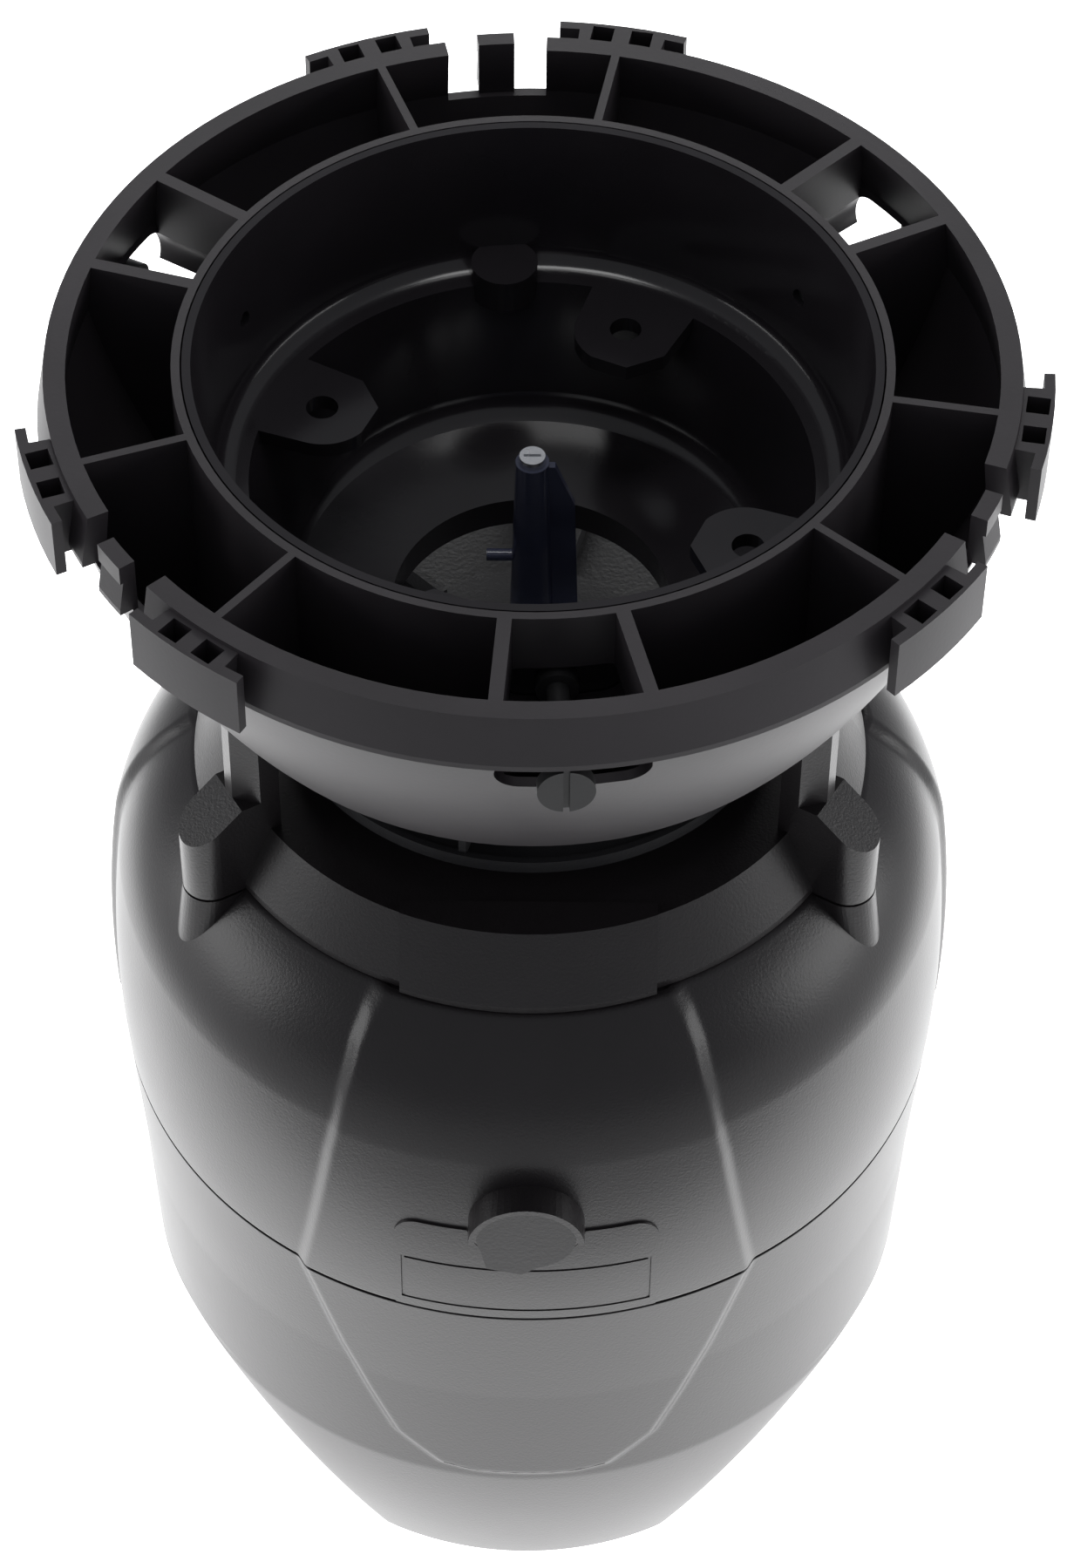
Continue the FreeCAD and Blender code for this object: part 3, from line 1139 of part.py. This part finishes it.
lead("charge_leads", [
    [("1.6", jack_back, PORT_LEVEL), ("1.6", jack_back + " + 14", PORT_LEVEL + " + 3"),
     ("0 - 1", "0 - 26", CHASSIS_TOP + " + 8"), ("0 - 2", "0 - 19.4", CHASSIS + " + 1"),
     ("0 - 2", "0 - 19", CHASSIS + " - 14")],
    [("0 - 1.6", jack_back, PORT_LEVEL), ("0 - 3", jack_back + " + 14", PORT_LEVEL + " + 3"),
     ("0 - 6", "0 - 26", CHASSIS_TOP + " + 8"), ("0 - 6", "0 - 19.4", CHASSIS + " + 1"),
     ("0 - 6", "0 - 19", CHASSIS + " - 14")],
])

# ---------------------------------------------------------------- check and export
doc.recompute()
problems = []
for item in doc.Objects:
    if "Invalid" in item.State or "Error" in item.State:
        problems.append("%s is %s" % (item.Label, item.State))
for feature in for_export:
    shape = feature.Shape
    if shape.isNull() or not shape.isValid() or not shape.Solids:
        problems.append("%s has no valid solid" % feature.Label)
if problems:
    raise RuntimeError("; ".join(problems))

os.makedirs("parts", exist_ok=True)
for feature in for_export:
    feature.Shape.exportStep("parts/%s.step" % feature.Label)
    extent = feature.Shape.BoundBox
    print("%-18s solids %d volume %.0f z %.1f..%.1f" % (
        feature.Label, len(feature.Shape.Solids), feature.Shape.Volume,
        extent.ZMin, extent.ZMax))
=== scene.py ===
import bpy
import math
import numpy as np
from mathutils import Matrix, Vector


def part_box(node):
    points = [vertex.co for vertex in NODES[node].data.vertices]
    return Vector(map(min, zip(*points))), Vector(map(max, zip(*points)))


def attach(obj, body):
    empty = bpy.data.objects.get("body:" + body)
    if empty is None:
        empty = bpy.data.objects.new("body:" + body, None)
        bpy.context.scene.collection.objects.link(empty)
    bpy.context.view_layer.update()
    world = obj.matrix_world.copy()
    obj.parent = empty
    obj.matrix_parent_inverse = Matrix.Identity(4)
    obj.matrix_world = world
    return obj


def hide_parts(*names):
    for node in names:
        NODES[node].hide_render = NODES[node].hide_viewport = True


# Looks of the feed spreader head. Every CAD node gets a procedural material. The two housing
# skins, the battery strap and the leads are replaced by finer pieces. Camera, floor and soft
# light follow. Lengths are metres, except where a name or comment says millimetres.
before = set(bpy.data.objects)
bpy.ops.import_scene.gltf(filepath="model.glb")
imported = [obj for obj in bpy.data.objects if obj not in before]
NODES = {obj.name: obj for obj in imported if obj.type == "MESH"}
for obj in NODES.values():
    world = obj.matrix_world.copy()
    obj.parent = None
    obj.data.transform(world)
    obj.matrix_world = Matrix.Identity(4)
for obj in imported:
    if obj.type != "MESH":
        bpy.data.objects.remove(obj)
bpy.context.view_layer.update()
MM_PER_M = 1000


def add_object(name, data):
    """New scene object that shows a mesh, curve, camera or light."""
    made = bpy.data.objects.new(name, data)
    bpy.context.scene.collection.objects.link(made)
    return made


# ------------------------------------------------------------------ materials
CLOUD_SCALE, CLOUD_DETAIL, CLOUD_ROUGHNESS = 18.0, 4.0, 0.6
GRAIN_DETAIL, GRAIN_ROUGHNESS = 2.0, 0.55
GRAIN_DEPTH = 0.0002
RAMP_STOPS = (0.3, 0.7)
MIRROR_LIMIT = 0.02
ACRYLIC_IOR = 1.49


def material(name, base, rough, bump, grain, spread, tint, metallic=0.0, specular=0.5):
    """Moulded or machined surface: fine grain bump, uneven roughness and colour."""
    mat = bpy.data.materials.new(name)
    mat.use_nodes = True
    tree = mat.node_tree
    shader = tree.nodes["Principled BSDF"]
    shader.inputs["Metallic"].default_value = metallic
    shader.inputs["Specular IOR Level"].default_value = specular
    place = tree.nodes.new("ShaderNodeTexCoord")

    def noise(scale, detail, rough_value):
        node = tree.nodes.new("ShaderNodeTexNoise")
        node.inputs["Scale"].default_value = scale
        node.inputs["Detail"].default_value = detail
        node.inputs["Roughness"].default_value = rough_value
        tree.links.new(place.outputs["Object"], node.inputs["Vector"])
        return node

    cloud = noise(CLOUD_SCALE, CLOUD_DETAIL, CLOUD_ROUGHNESS)
    fine = noise(grain, GRAIN_DETAIL, GRAIN_ROUGHNESS)
    span = tree.nodes.new("ShaderNodeMapRange")
    span.inputs["To Min"].default_value = max(MIRROR_LIMIT, rough - spread)
    span.inputs["To Max"].default_value = min(1.0, rough + spread)
    tree.links.new(cloud.outputs["Fac"], span.inputs["Value"])
    tree.links.new(span.outputs["Result"], shader.inputs["Roughness"])
    ramp = tree.nodes.new("ShaderNodeValToRGB")
    dark, light = ramp.color_ramp.elements
    dark.position, light.position = RAMP_STOPS
    dark.color = [c * (1 - tint) for c in base] + [1]
    light.color = [min(1, c * (1 + tint)) for c in base] + [1]
    tree.links.new(cloud.outputs["Fac"], ramp.inputs["Fac"])
    tree.links.new(ramp.outputs["Color"], shader.inputs["Base Color"])
    relief = tree.nodes.new("ShaderNodeBump")
    relief.inputs["Strength"].default_value = bump
    relief.inputs["Distance"].default_value = GRAIN_DEPTH
    tree.links.new(fine.outputs["Fac"], relief.inputs["Height"])
    tree.links.new(relief.outputs["Normal"], shader.inputs["Normal"])
    return mat


def clear(name, base, rough, passing):
    """See-through plastic that lets this share of the light pass."""
    mat = material(name, base, rough, 0.05, 700.0, 0.03, 0.1)
    shader = mat.node_tree.nodes["Principled BSDF"]
    shader.inputs["Transmission Weight"].default_value = passing
    shader.inputs["IOR"].default_value = ACRYLIC_IOR
    return mat


# Each: name, linear colour, roughness, bump strength, grain scale, roughness and colour spread.
SATIN = material("satin_black", (0.0135, 0.0115, 0.0128), 0.33, 0.28, 1400.0, 0.04, 0.2)
RING = material("ring_black", (0.028, 0.0245, 0.028), 0.42, 0.10, 900.0, 0.05, 0.2,
                specular=0.36)
GLOSS = material("funnel_black", (0.016, 0.0142, 0.0165), 0.16, 0.04, 500.0, 0.05, 0.2)
SPIN = material("spinner_blue_black", (0.012, 0.0118, 0.0135), 0.5, 0.6, 900.0, 0.06, 0.3)
SMOKE = clear("smoke_plastic", (0.09, 0.10, 0.17), 0.12, 0.55)
RUBBER = material("rubber_black", (0.009, 0.008, 0.0095), 0.5, 0.35, 1100.0, 0.05, 0.25)
BLACK_STEEL = material("blackened_screw", (0.02, 0.02, 0.021), 0.33, 0.15, 600.0, 0.08, 0.3)
ZINC = material("zinc_plated", (0.62, 0.63, 0.65), 0.28, 0.15, 500.0, 0.1, 0.08,
                metallic=1.0)
CAN = material("drawn_can", (0.52, 0.53, 0.55), 0.34, 0.2, 350.0, 0.12, 0.08, metallic=1.0)
BRASS = material("plain_brass", (0.72, 0.55, 0.26), 0.3, 0.12, 400.0, 0.08, 0.1,
                 metallic=1.0)
BATTERY = material("battery_case", (0.05, 0.05, 0.06), 0.5, 0.4, 900.0, 0.06, 0.2)
GREY = material("timer_grey", (0.3, 0.31, 0.32), 0.45, 0.35, 1100.0, 0.06, 0.06)
BOARD = material("board_green", (0.02, 0.16, 0.06), 0.3, 0.2, 300.0, 0.08, 0.2)
DISPLAY = material("display_grey", (0.36, 0.4, 0.32), 0.15, 0.02, 300.0, 0.03, 0.04)
LENS = clear("clear_lens", (0.9, 0.92, 0.92), 0.05, 0.95)
BUTTON = material("button_rubber", (0.1, 0.1, 0.11), 0.6, 0.4, 1200.0, 0.05, 0.15)
WEB = material("strap_web", (0.025, 0.025, 0.025), 0.8, 0.9, 1500.0, 0.08, 0.3)
RED_WIRE = material("lead_red", (0.3, 0.02, 0.02), 0.42, 0.2, 900.0, 0.05, 0.15)
BLACK_WIRE = material("lead_black", (0.02, 0.02, 0.022), 0.42, 0.2, 900.0, 0.05, 0.2)

LOOKS = {
    "upper_housing": SATIN, "name_plate": SATIN, "lower_cup": SATIN, "top_cap": SATIN,
    "seam_seal": RUBBER, "cap_gasket": RUBBER, "funnel": GLOSS, "adapter_ring": RING,
    "guide_screws": BLACK_STEEL, "post_screws": ZINC, "cap_screws": ZINC,
    "motor_screws": ZINC, "chassis_screws": ZINC, "spin_plate": SPIN, "spinner_hub": ZINC,
    "hub_set_screw": ZINC, "motor_shaft": ZINC, "agitator_post": SMOKE,
    "agitator_screw": ZINC, "shaft_seal": RUBBER, "motor_plate": ZINC, "gearbox": CAN,
    "motor_can": CAN, "motor_terminals": BRASS, "chassis_plate": GREY, "battery": BATTERY,
    "battery_terminals": BRASS, "battery_tray": SATIN, "battery_strap": WEB,
    "timer_case": GREY, "circuit_board": BOARD, "display_module": DISPLAY,
    "display_lens": LENS, "button_mode": BUTTON, "button_set": BUTTON, "button_up": BUTTON,
    "button_down": BUTTON, "button_switches": BUTTON, "timer_brackets": GREY,
    "charge_jack": BRASS, "jack_nut": ZINC, "port_plug": RUBBER, "motor_leads": RED_WIRE,
    "battery_leads": RED_WIRE, "charge_leads": RED_WIRE,
}
SOFT_EDGE = {
    "adapter_ring": 0.00035, "funnel": 0.0005, "top_cap": 0.0008, "upper_housing": 0.0003,
    "lower_cup": 0.0004, "port_plug": 0.0006, "battery": 0.0015, "timer_case": 0.0012,
    "agitator_post": 0.0004, "guide_screws": 0.0003, "spin_plate": 0.0003,
}
SHARP_EDGE = math.radians(32)

for name, node in NODES.items():
    node.data.materials.clear()
    node.data.materials.append(LOOKS[name])
    for face in node.data.polygons:
        face.material_index = 0
    if name in SOFT_EDGE:
        bevel = node.modifiers.new("soft_edge", "BEVEL")
        bevel.width = SOFT_EDGE[name]
        bevel.segments = 2
        bevel.limit_method = "ANGLE"
        bevel.angle_limit = SHARP_EDGE
        bevel.use_clamp_overlap = True


# ------------------------------------------------------------------ moulded housing skins
# The housing's profile as (radius, height) in millimetres on the spinner axis, top down.
NECK, SHOULDER, SEAM = (82.5, 239.6), (103.1, 207.0), (104.9, 147.0)
WAIST, FOOT, BASE = (102.6, 108.0), (101.0, 65.0), (83.0, 0.0)
SHOULDER_ARC, SIDE_ARC, FOOT_ARC = 52.0, 287.0, 320.0
# Half of a raised panel's outline as (half width, height) in millimetres, top down.
PANEL = [(30.3, 242.0), (35.9, 235.0), (38.7, 229.0), (42.0, 217.4), (45.7, 198.0),
         (49.8, 171.6), (53.6, 147.0), (44.5, 117.0), (38.3, 100.0), (31.4, 83.0),
         (20.9, 72.7), (12.1, 71.0)]
PANEL_FOOT = 71.0
PANEL_TURNS = (-90.0, 30.0, 150.0)
PANEL_SPREAD = 80
RISE = 2.0
BEVEL_START, BEVEL_WIDTH = 0.4, 4.2
# Flat facets at the foot, one under each post, with a soft edge against the round skin.
POST_TURNS = (-30.0, 90.0, 210.0)
FACET_BASE, FACET_TOP, FACET_SPREAD, FACET_EDGE = 70.4, 68.0, 60, 0.7
STEEPEST_COSINE = 0.3
FAR_AWAY = 1e3
# The new skin: its mesh step, its rims, and what it covers of the CAD's own outer skin.
TURN_STEP = 0.4
RIM_INSET = 1.6
COVER_BELOW, COVER_ABOVE = 0.8, 0.35
FAIRING_HALF, FAIRING_FOOT = 4.6, 216
LEVEL_FACE = 0.9
UPPER_LEVELS = np.concatenate((
    [239.5], np.arange(239.5, 148, -0.9), [147.9, 147.45, 147.4]))
CUP_LEVELS = np.concatenate((
    [146.5, 146.45, 146.0], np.arange(145.2, 0.6, -0.95), [0.3, 0.02, 0.0]))


def turned_from(turn, other):
    """Signed angle in degrees from one bearing to another, the short way round."""
    return (turn - other + 180) % 360 - 180


def arc(level, high, low, radius):
    """Radius at a level on the arc that bulges outwards between two profile points."""
    dr, dz = low[0] - high[0], low[1] - high[1]
    chord = math.hypot(dr, dz)
    back = math.sqrt(radius * radius - chord * chord / 4)
    centre_r = (high[0] + low[0]) / 2 + back * dz / chord
    centre_z = (high[1] + low[1]) / 2 - back * dr / chord
    return centre_r + np.sqrt(np.maximum(radius * radius - (level - centre_z) ** 2, 0))


def shell_radius(level):
    """Plain outer radius of the housing at each level."""
    out = np.interp(level, [FOOT[1], WAIST[1], SEAM[1]], [FOOT[0], WAIST[0], SEAM[0]])
    out = np.where(level > SHOULDER[1], arc(level, NECK, SHOULDER, SHOULDER_ARC), out)
    out = np.where((level > SEAM[1]) & (level <= SHOULDER[1]),
                   arc(level, SHOULDER, SEAM, SIDE_ARC), out)
    return np.where(level < FOOT[1], arc(level, FOOT, BASE, FOOT_ARC), out)


def panel_distance(side, level):
    """Distance outside the raised panel's outline, negative within it."""
    points = PANEL + [(-w, z) for w, z in reversed(PANEL)]
    nearest = np.full(np.shape(side), 1e9)
    for (u0, v0), (u1, v1) in zip(points, points[1:] + points[:1]):
        du, dv = u1 - u0, v1 - v0
        share = np.clip(((side - u0) * du + (level - v0) * dv) / (du * du + dv * dv), 0, 1)
        nearest = np.minimum(nearest, np.hypot(side - u0 - share * du,
                                               level - v0 - share * dv))
    order = sorted(PANEL, key=lambda item: item[1])
    half = np.interp(level, [z for w, z in order], [w for w, z in order])
    within = (np.abs(side) < half) & (level > PANEL_FOOT)
    return np.where(within, -nearest, nearest)


def skin_radius(turn, level, panels=True):
    """Outer radius of the moulded housing at a turn (degrees) and level."""
    base = shell_radius(level)
    for post in POST_TURNS:
        off = turned_from(turn, post)
        reach = np.interp(level, [BASE[1], FOOT[1]], [FACET_BASE, FOOT[0]]) / np.maximum(
            np.cos(np.radians(off)), STEEPEST_COSINE)
        reach = np.where((np.abs(off) < FACET_SPREAD) & (level < FACET_TOP), reach,
                         FAR_AWAY)
        low = np.minimum(base, reach)
        base = low - FACET_EDGE * np.log1p(np.exp(-np.abs(base - reach) / FACET_EDGE))
    if not panels:
        return base
    rise = np.zeros(np.shape(base))
    for panel in PANEL_TURNS:
        off = turned_from(turn, panel)
        side = base * np.sin(np.radians(off))
        away = np.where(np.abs(off) < PANEL_SPREAD, panel_distance(side, level), FAR_AWAY)
        share = np.clip((away + BEVEL_START) / BEVEL_WIDTH, 0, 1)
        rise = np.maximum(rise, RISE * (1 - share * share * (3 - 2 * share)))
    return base + rise


def moulded(name, levels, source, body):
    """The housing shell with softly bevelled panels: a fine outer skin around the
    inner walls, hood, fairings and bosses of the shell it stands for."""
    turn, level = np.meshgrid(np.arange(0, 360, TURN_STEP), levels)
    radius = skin_radius(turn, level)
    radius[0] -= RIM_INSET
    radius[-1] -= RIM_INSET
    x = radius * np.cos(np.radians(turn)) / MM_PER_M
    y = radius * np.sin(np.radians(turn)) / MM_PER_M
    points = list(zip(x.ravel(), y.ravel(), level.ravel() / MM_PER_M))
    rows, cols = turn.shape
    faces = []
    for i in range(rows - 1):
        for j in range(cols):
            k = (j + 1) % cols
            faces.append((i * cols + j, i * cols + k, (i + 1) * cols + k,
                          (i + 1) * cols + j))
    smooth_count = len(faces)
    mesh = source.data
    spots = np.array([tuple(v.co) for v in mesh.vertices]) * MM_PER_M
    reach = np.hypot(spots[:, 0], spots[:, 1])
    bearing = np.degrees(np.arctan2(spots[:, 1], spots[:, 0]))
    plain = skin_radius(bearing, spots[:, 2], panels=False)
    outer = (reach > plain - COVER_BELOW) & (reach < plain + RISE + COVER_ABOVE)
    start = len(points)
    points += [tuple(v / MM_PER_M) for v in spots]
    for face in mesh.polygons:
        corners = list(face.vertices)
        middle = spots[corners].mean(axis=0)
        place = math.degrees(math.atan2(middle[1], middle[0]))
        off = min(abs(turned_from(place, post)) for post in POST_TURNS)
        near_fairing = off < FAIRING_HALF and middle[2] > FAIRING_FOOT
        if (outer[corners].all() and abs(face.normal.z) < LEVEL_FACE
                and not near_fairing):
            continue
        faces.append(tuple(start + c for c in corners))
    made = bpy.data.meshes.new(name)
    made.from_pydata(points, [], faces)
    made.polygons.foreach_set("use_smooth", [i < smooth_count for i in range(len(faces))])
    made.update()
    made.validate()
    piece = add_object(name, made)
    made.materials.append(LOOKS[source.name])
    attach(piece, body)
    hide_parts(source.name)


moulded("upper_shell", UPPER_LEVELS, NODES["upper_housing"], "housing")
moulded("cup_shell", CUP_LEVELS, NODES["lower_cup"], "cup")

# ------------------------------------------------------------------ strap and leads
STRAP_THICK, STRAP_BEND, STRAP_MARGIN = 0.0012, 0.0035, 0.0003
CORNER_STEPS = 8
WEAVE_STEP, WEAVE_ROWS = 0.0011, 17
HALF_WEAVE, EDGE_THIN, ROW_DIP, CROSS_DIP = 0.46, 0.72, 0.82, 0.86
LEAD_RADIUS = 0.00085


def webbing(source, body):
    """Woven strap in a closed loop with rounded corners and thinner edges."""
    low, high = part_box(source)
    cx, cy = (low.x + high.x) / 2, (low.y + high.y) / 2
    hx = (high.x - low.x) / 2 - STRAP_THICK / 2
    hy = (high.y - low.y) / 2 - STRAP_THICK / 2
    path = []
    for sx, sy, first in ((1, 1, 0), (-1, 1, 90), (-1, -1, 180), (1, -1, 270)):
        for step in range(CORNER_STEPS + 1):
            a = math.radians(first + 90 * step / CORNER_STEPS)
            path.append((cx + sx * (hx - STRAP_BEND) + STRAP_BEND * math.cos(a),
                         cy + sy * (hy - STRAP_BEND) + STRAP_BEND * math.sin(a),
                         math.cos(a), math.sin(a)))
    dense = []
    for (x0, y0, u0, w0), (x1, y1, u1, w1) in zip(path, path[1:] + path[:1]):
        count = max(1, int(math.hypot(x1 - x0, y1 - y0) / WEAVE_STEP))
        for k in range(count):
            t = k / count
            dense.append((x0 + (x1 - x0) * t, y0 + (y1 - y0) * t, u0 + (u1 - u0) * t,
                          w0 + (w1 - w0) * t))
    height = high.z - low.z
    section = []
    for k in range(WEAVE_ROWS):
        z = low.z + STRAP_MARGIN + (height - 2 * STRAP_MARGIN) * k / (WEAVE_ROWS - 1)
        edge = EDGE_THIN if k in (0, WEAVE_ROWS - 1) else 1.0
        section.append((STRAP_THICK * HALF_WEAVE * edge * (1.0 if k % 2 else ROW_DIP), z))
    section += [(-v, z) for v, z in reversed(section)]
    points, faces = [], []
    for i, (x, y, u, w) in enumerate(dense):
        for j, (out, z) in enumerate(section):
            lift = out * (1.0 if (i + j) % 2 else CROSS_DIP)
            points.append((x + u * lift, y + w * lift, z))
    n, m = len(dense), len(section)
    for i in range(n):
        for j in range(m):
            faces.append((i * m + j, i * m + (j + 1) % m, ((i + 1) % n) * m + (j + 1) % m,
                          ((i + 1) % n) * m + j))
    made = bpy.data.meshes.new("strap_webbing")
    made.from_pydata(points, [], faces)
    made.update()
    piece = add_object("strap_webbing", made)
    made.materials.append(WEB)
    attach(piece, body)
    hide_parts(source)


def wires(name, source, routes, looks):
    """Insulated leads, each a smooth line through its route in millimetres."""
    made = []
    for count, (route, look) in enumerate(zip(routes, looks)):
        curve = bpy.data.curves.new("%s_%d" % (name, count), "CURVE")
        curve.dimensions = "3D"
        curve.bevel_depth = LEAD_RADIUS
        curve.bevel_resolution = 4
        curve.use_fill_caps = True
        spline = curve.splines.new("NURBS")
        spline.points.add(len(route) - 1)
        for point, (x, y, z) in zip(spline.points, route):
            point.co = (x / MM_PER_M, y / MM_PER_M, z / MM_PER_M, 1)
        spline.order_u = 3
        spline.use_endpoint_u = True
        spline.resolution_u = 16
        curve.materials.append(look)
        piece = add_object("%s_%d" % (name, count), curve)
        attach(piece, "housing")
        made.append(piece)
    for piece in made:
        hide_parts(source)


webbing("battery_strap", "housing")
wires("motor_lead", "motor_leads", [
    [(8.5, -2, 191.6), (13, -11, 180.6), (7, -18.5, 170), (6, -19, 161), (6, -19, 147)],
    [(-8.5, -2, 191.6), (-6, -11, 180.6), (1, -18.5, 170), (2, -19, 161), (2, -19, 147)],
], (RED_WIRE, BLACK_WIRE))
wires("battery_lead", "battery_leads", [
    [(-22.4, 4, 156), (-20, -8, 156.5), (-16, -14, 149), (-14, -17.5, 141)],
    [(22.4, 4, 156), (20, -8, 156.5), (16, -14, 149), (14, -17.5, 141)],
], (BLACK_WIRE, RED_WIRE))
wires("charge_lead", "charge_leads", [
    [(1.6, -89, 187), (1.6, -75, 190), (-1, -26, 172), (-2, -19.4, 162), (-2, -19, 147)],
    [(-1.6, -89, 187), (-3, -75, 190), (-6, -26, 172), (-6, -19.4, 162), (-6, -19, 147)],
], (RED_WIRE, BLACK_WIRE))

# ------------------------------------------------------------------ camera
# Fitted to the photograph's round rims: angles in radians, distance in ring radii, and the
# focal length in the photograph's own pixels.
PITCH, YAW, ROLL = 0.855391, 0.0012208, 0.0088151
DISTANCE, ELEVATION = 9.462619, 0.762478
FOCAL_PIXELS, PHOTO_LONG_SIDE, SENSOR_MM = 5290, 1799, 36
RING_RADIUS = 0.110
RING_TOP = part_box("adapter_ring")[1].z
forward = Vector((math.sin(YAW) * math.cos(PITCH), math.cos(YAW) * math.cos(PITCH),
                  -math.sin(PITCH)))
right = forward.cross(Vector((0, 0, 1))).normalized()
up = right.cross(forward)
right, up = (math.cos(ROLL) * right + math.sin(ROLL) * up,
             -math.sin(ROLL) * right + math.cos(ROLL) * up)
camera = add_object("camera", bpy.data.cameras.new("camera"))
camera.matrix_world = Matrix((
    (right.x, up.x, -forward.x, 0.0),
    (right.y, up.y, -forward.y, -DISTANCE * math.cos(ELEVATION) * RING_RADIUS),
    (right.z, up.z, -forward.z, RING_TOP + DISTANCE * math.sin(ELEVATION) * RING_RADIUS),
    (0, 0, 0, 1)))
camera.data.sensor_fit = "AUTO"
camera.data.sensor_width = SENSOR_MM
camera.data.lens = FOCAL_PIXELS * SENSOR_MM / PHOTO_LONG_SIDE
camera.data.clip_start = 0.05
bpy.context.scene.camera = camera

# ------------------------------------------------------------------ floor and light
# The floor glows around the object and is dim further out, so the black plastic mirrors a
# bright floor low down and a dark one higher up, as it does in the photograph.
GLOW_CENTRE = (0.0, 0.2, 0.0)
GLOW_NEAR, GLOW_FAR = 0.405, 0.50
GLOW_BRIGHT, GLOW_DIM = 2.05, 0.14
WORLD_COLOUR, WORLD_STRENGTH = (0.93, 0.95, 1, 1), 0.30

mesh = bpy.data.meshes.new("floor")
mesh.from_pydata([(-5, -4, 0), (5, -4, 0), (5, 6, 0), (-5, 6, 0)], [], [(0, 1, 2, 3)])
floor = add_object("floor", mesh)
# Painted light: on top of its pale white colour, the floor's emission is a painted pool of
# light, bright round the object and dim further out, so the floor glows though it is no lamp.
floor_paint_glow = material("white_floor_painted_glow", (0.86, 0.86, 0.86), 0.8, 0.02, 60.0, 0.03, 0.01)
tree = floor_paint_glow.node_tree
shader = tree.nodes["Principled BSDF"]
shader.inputs["Emission Color"].default_value = (1, 1, 1, 1)
place = tree.nodes.new("ShaderNodeTexCoord")
reach = tree.nodes.new("ShaderNodeVectorMath")
reach.operation = "DISTANCE"
reach.inputs[1].default_value = GLOW_CENTRE
fall = tree.nodes.new("ShaderNodeMapRange")
fall.interpolation_type = "SMOOTHSTEP"
fall.inputs["From Min"].default_value = GLOW_NEAR
fall.inputs["From Max"].default_value = GLOW_FAR
fall.inputs["To Min"].default_value = GLOW_BRIGHT
fall.inputs["To Max"].default_value = GLOW_DIM
tree.links.new(place.outputs["Object"], reach.inputs[0])
tree.links.new(reach.outputs["Value"], fall.inputs["Value"])
tree.links.new(fall.outputs["Result"], shader.inputs["Emission Strength"])
floor.data.materials.append(floor_paint_glow)


def softbox(name, place, aim, size, power):
    """Rectangular soft light of this size (metres) and power (watts), aimed at a point."""
    light = bpy.data.lights.new(name, "AREA")
    light.shape = "RECTANGLE"
    light.size, light.size_y = size
    light.energy = power
    lamp = add_object(name, light)
    lamp.location = place
    direction = Vector(aim) - Vector(place)
    lamp.rotation_euler = direction.to_track_quat("-Z", "Y").to_euler()


softbox("left_panel", (-1.7, -0.1, 0.55), (0, 0, 0.15), (1.2, 0.8), 9)
softbox("right_panel", (1.7, -0.1, 0.55), (0, 0, 0.15), (1.2, 0.8), 9)
softbox("back_panel", (0, 1.9, 1.1), (0, 0, 0.2), (1.6, 0.5), 12)
softbox("top_panel", (0.0, 0.1, 2.2), (0, 0, 0), (0.9, 0.5), 7)
world = bpy.data.worlds.new("studio")
bpy.context.scene.world = world
world.use_nodes = True
backdrop = world.node_tree.nodes["Background"]
backdrop.inputs["Color"].default_value = WORLD_COLOUR
backdrop.inputs["Strength"].default_value = WORLD_STRENGTH
bpy.context.scene.view_settings.view_transform = "Standard"
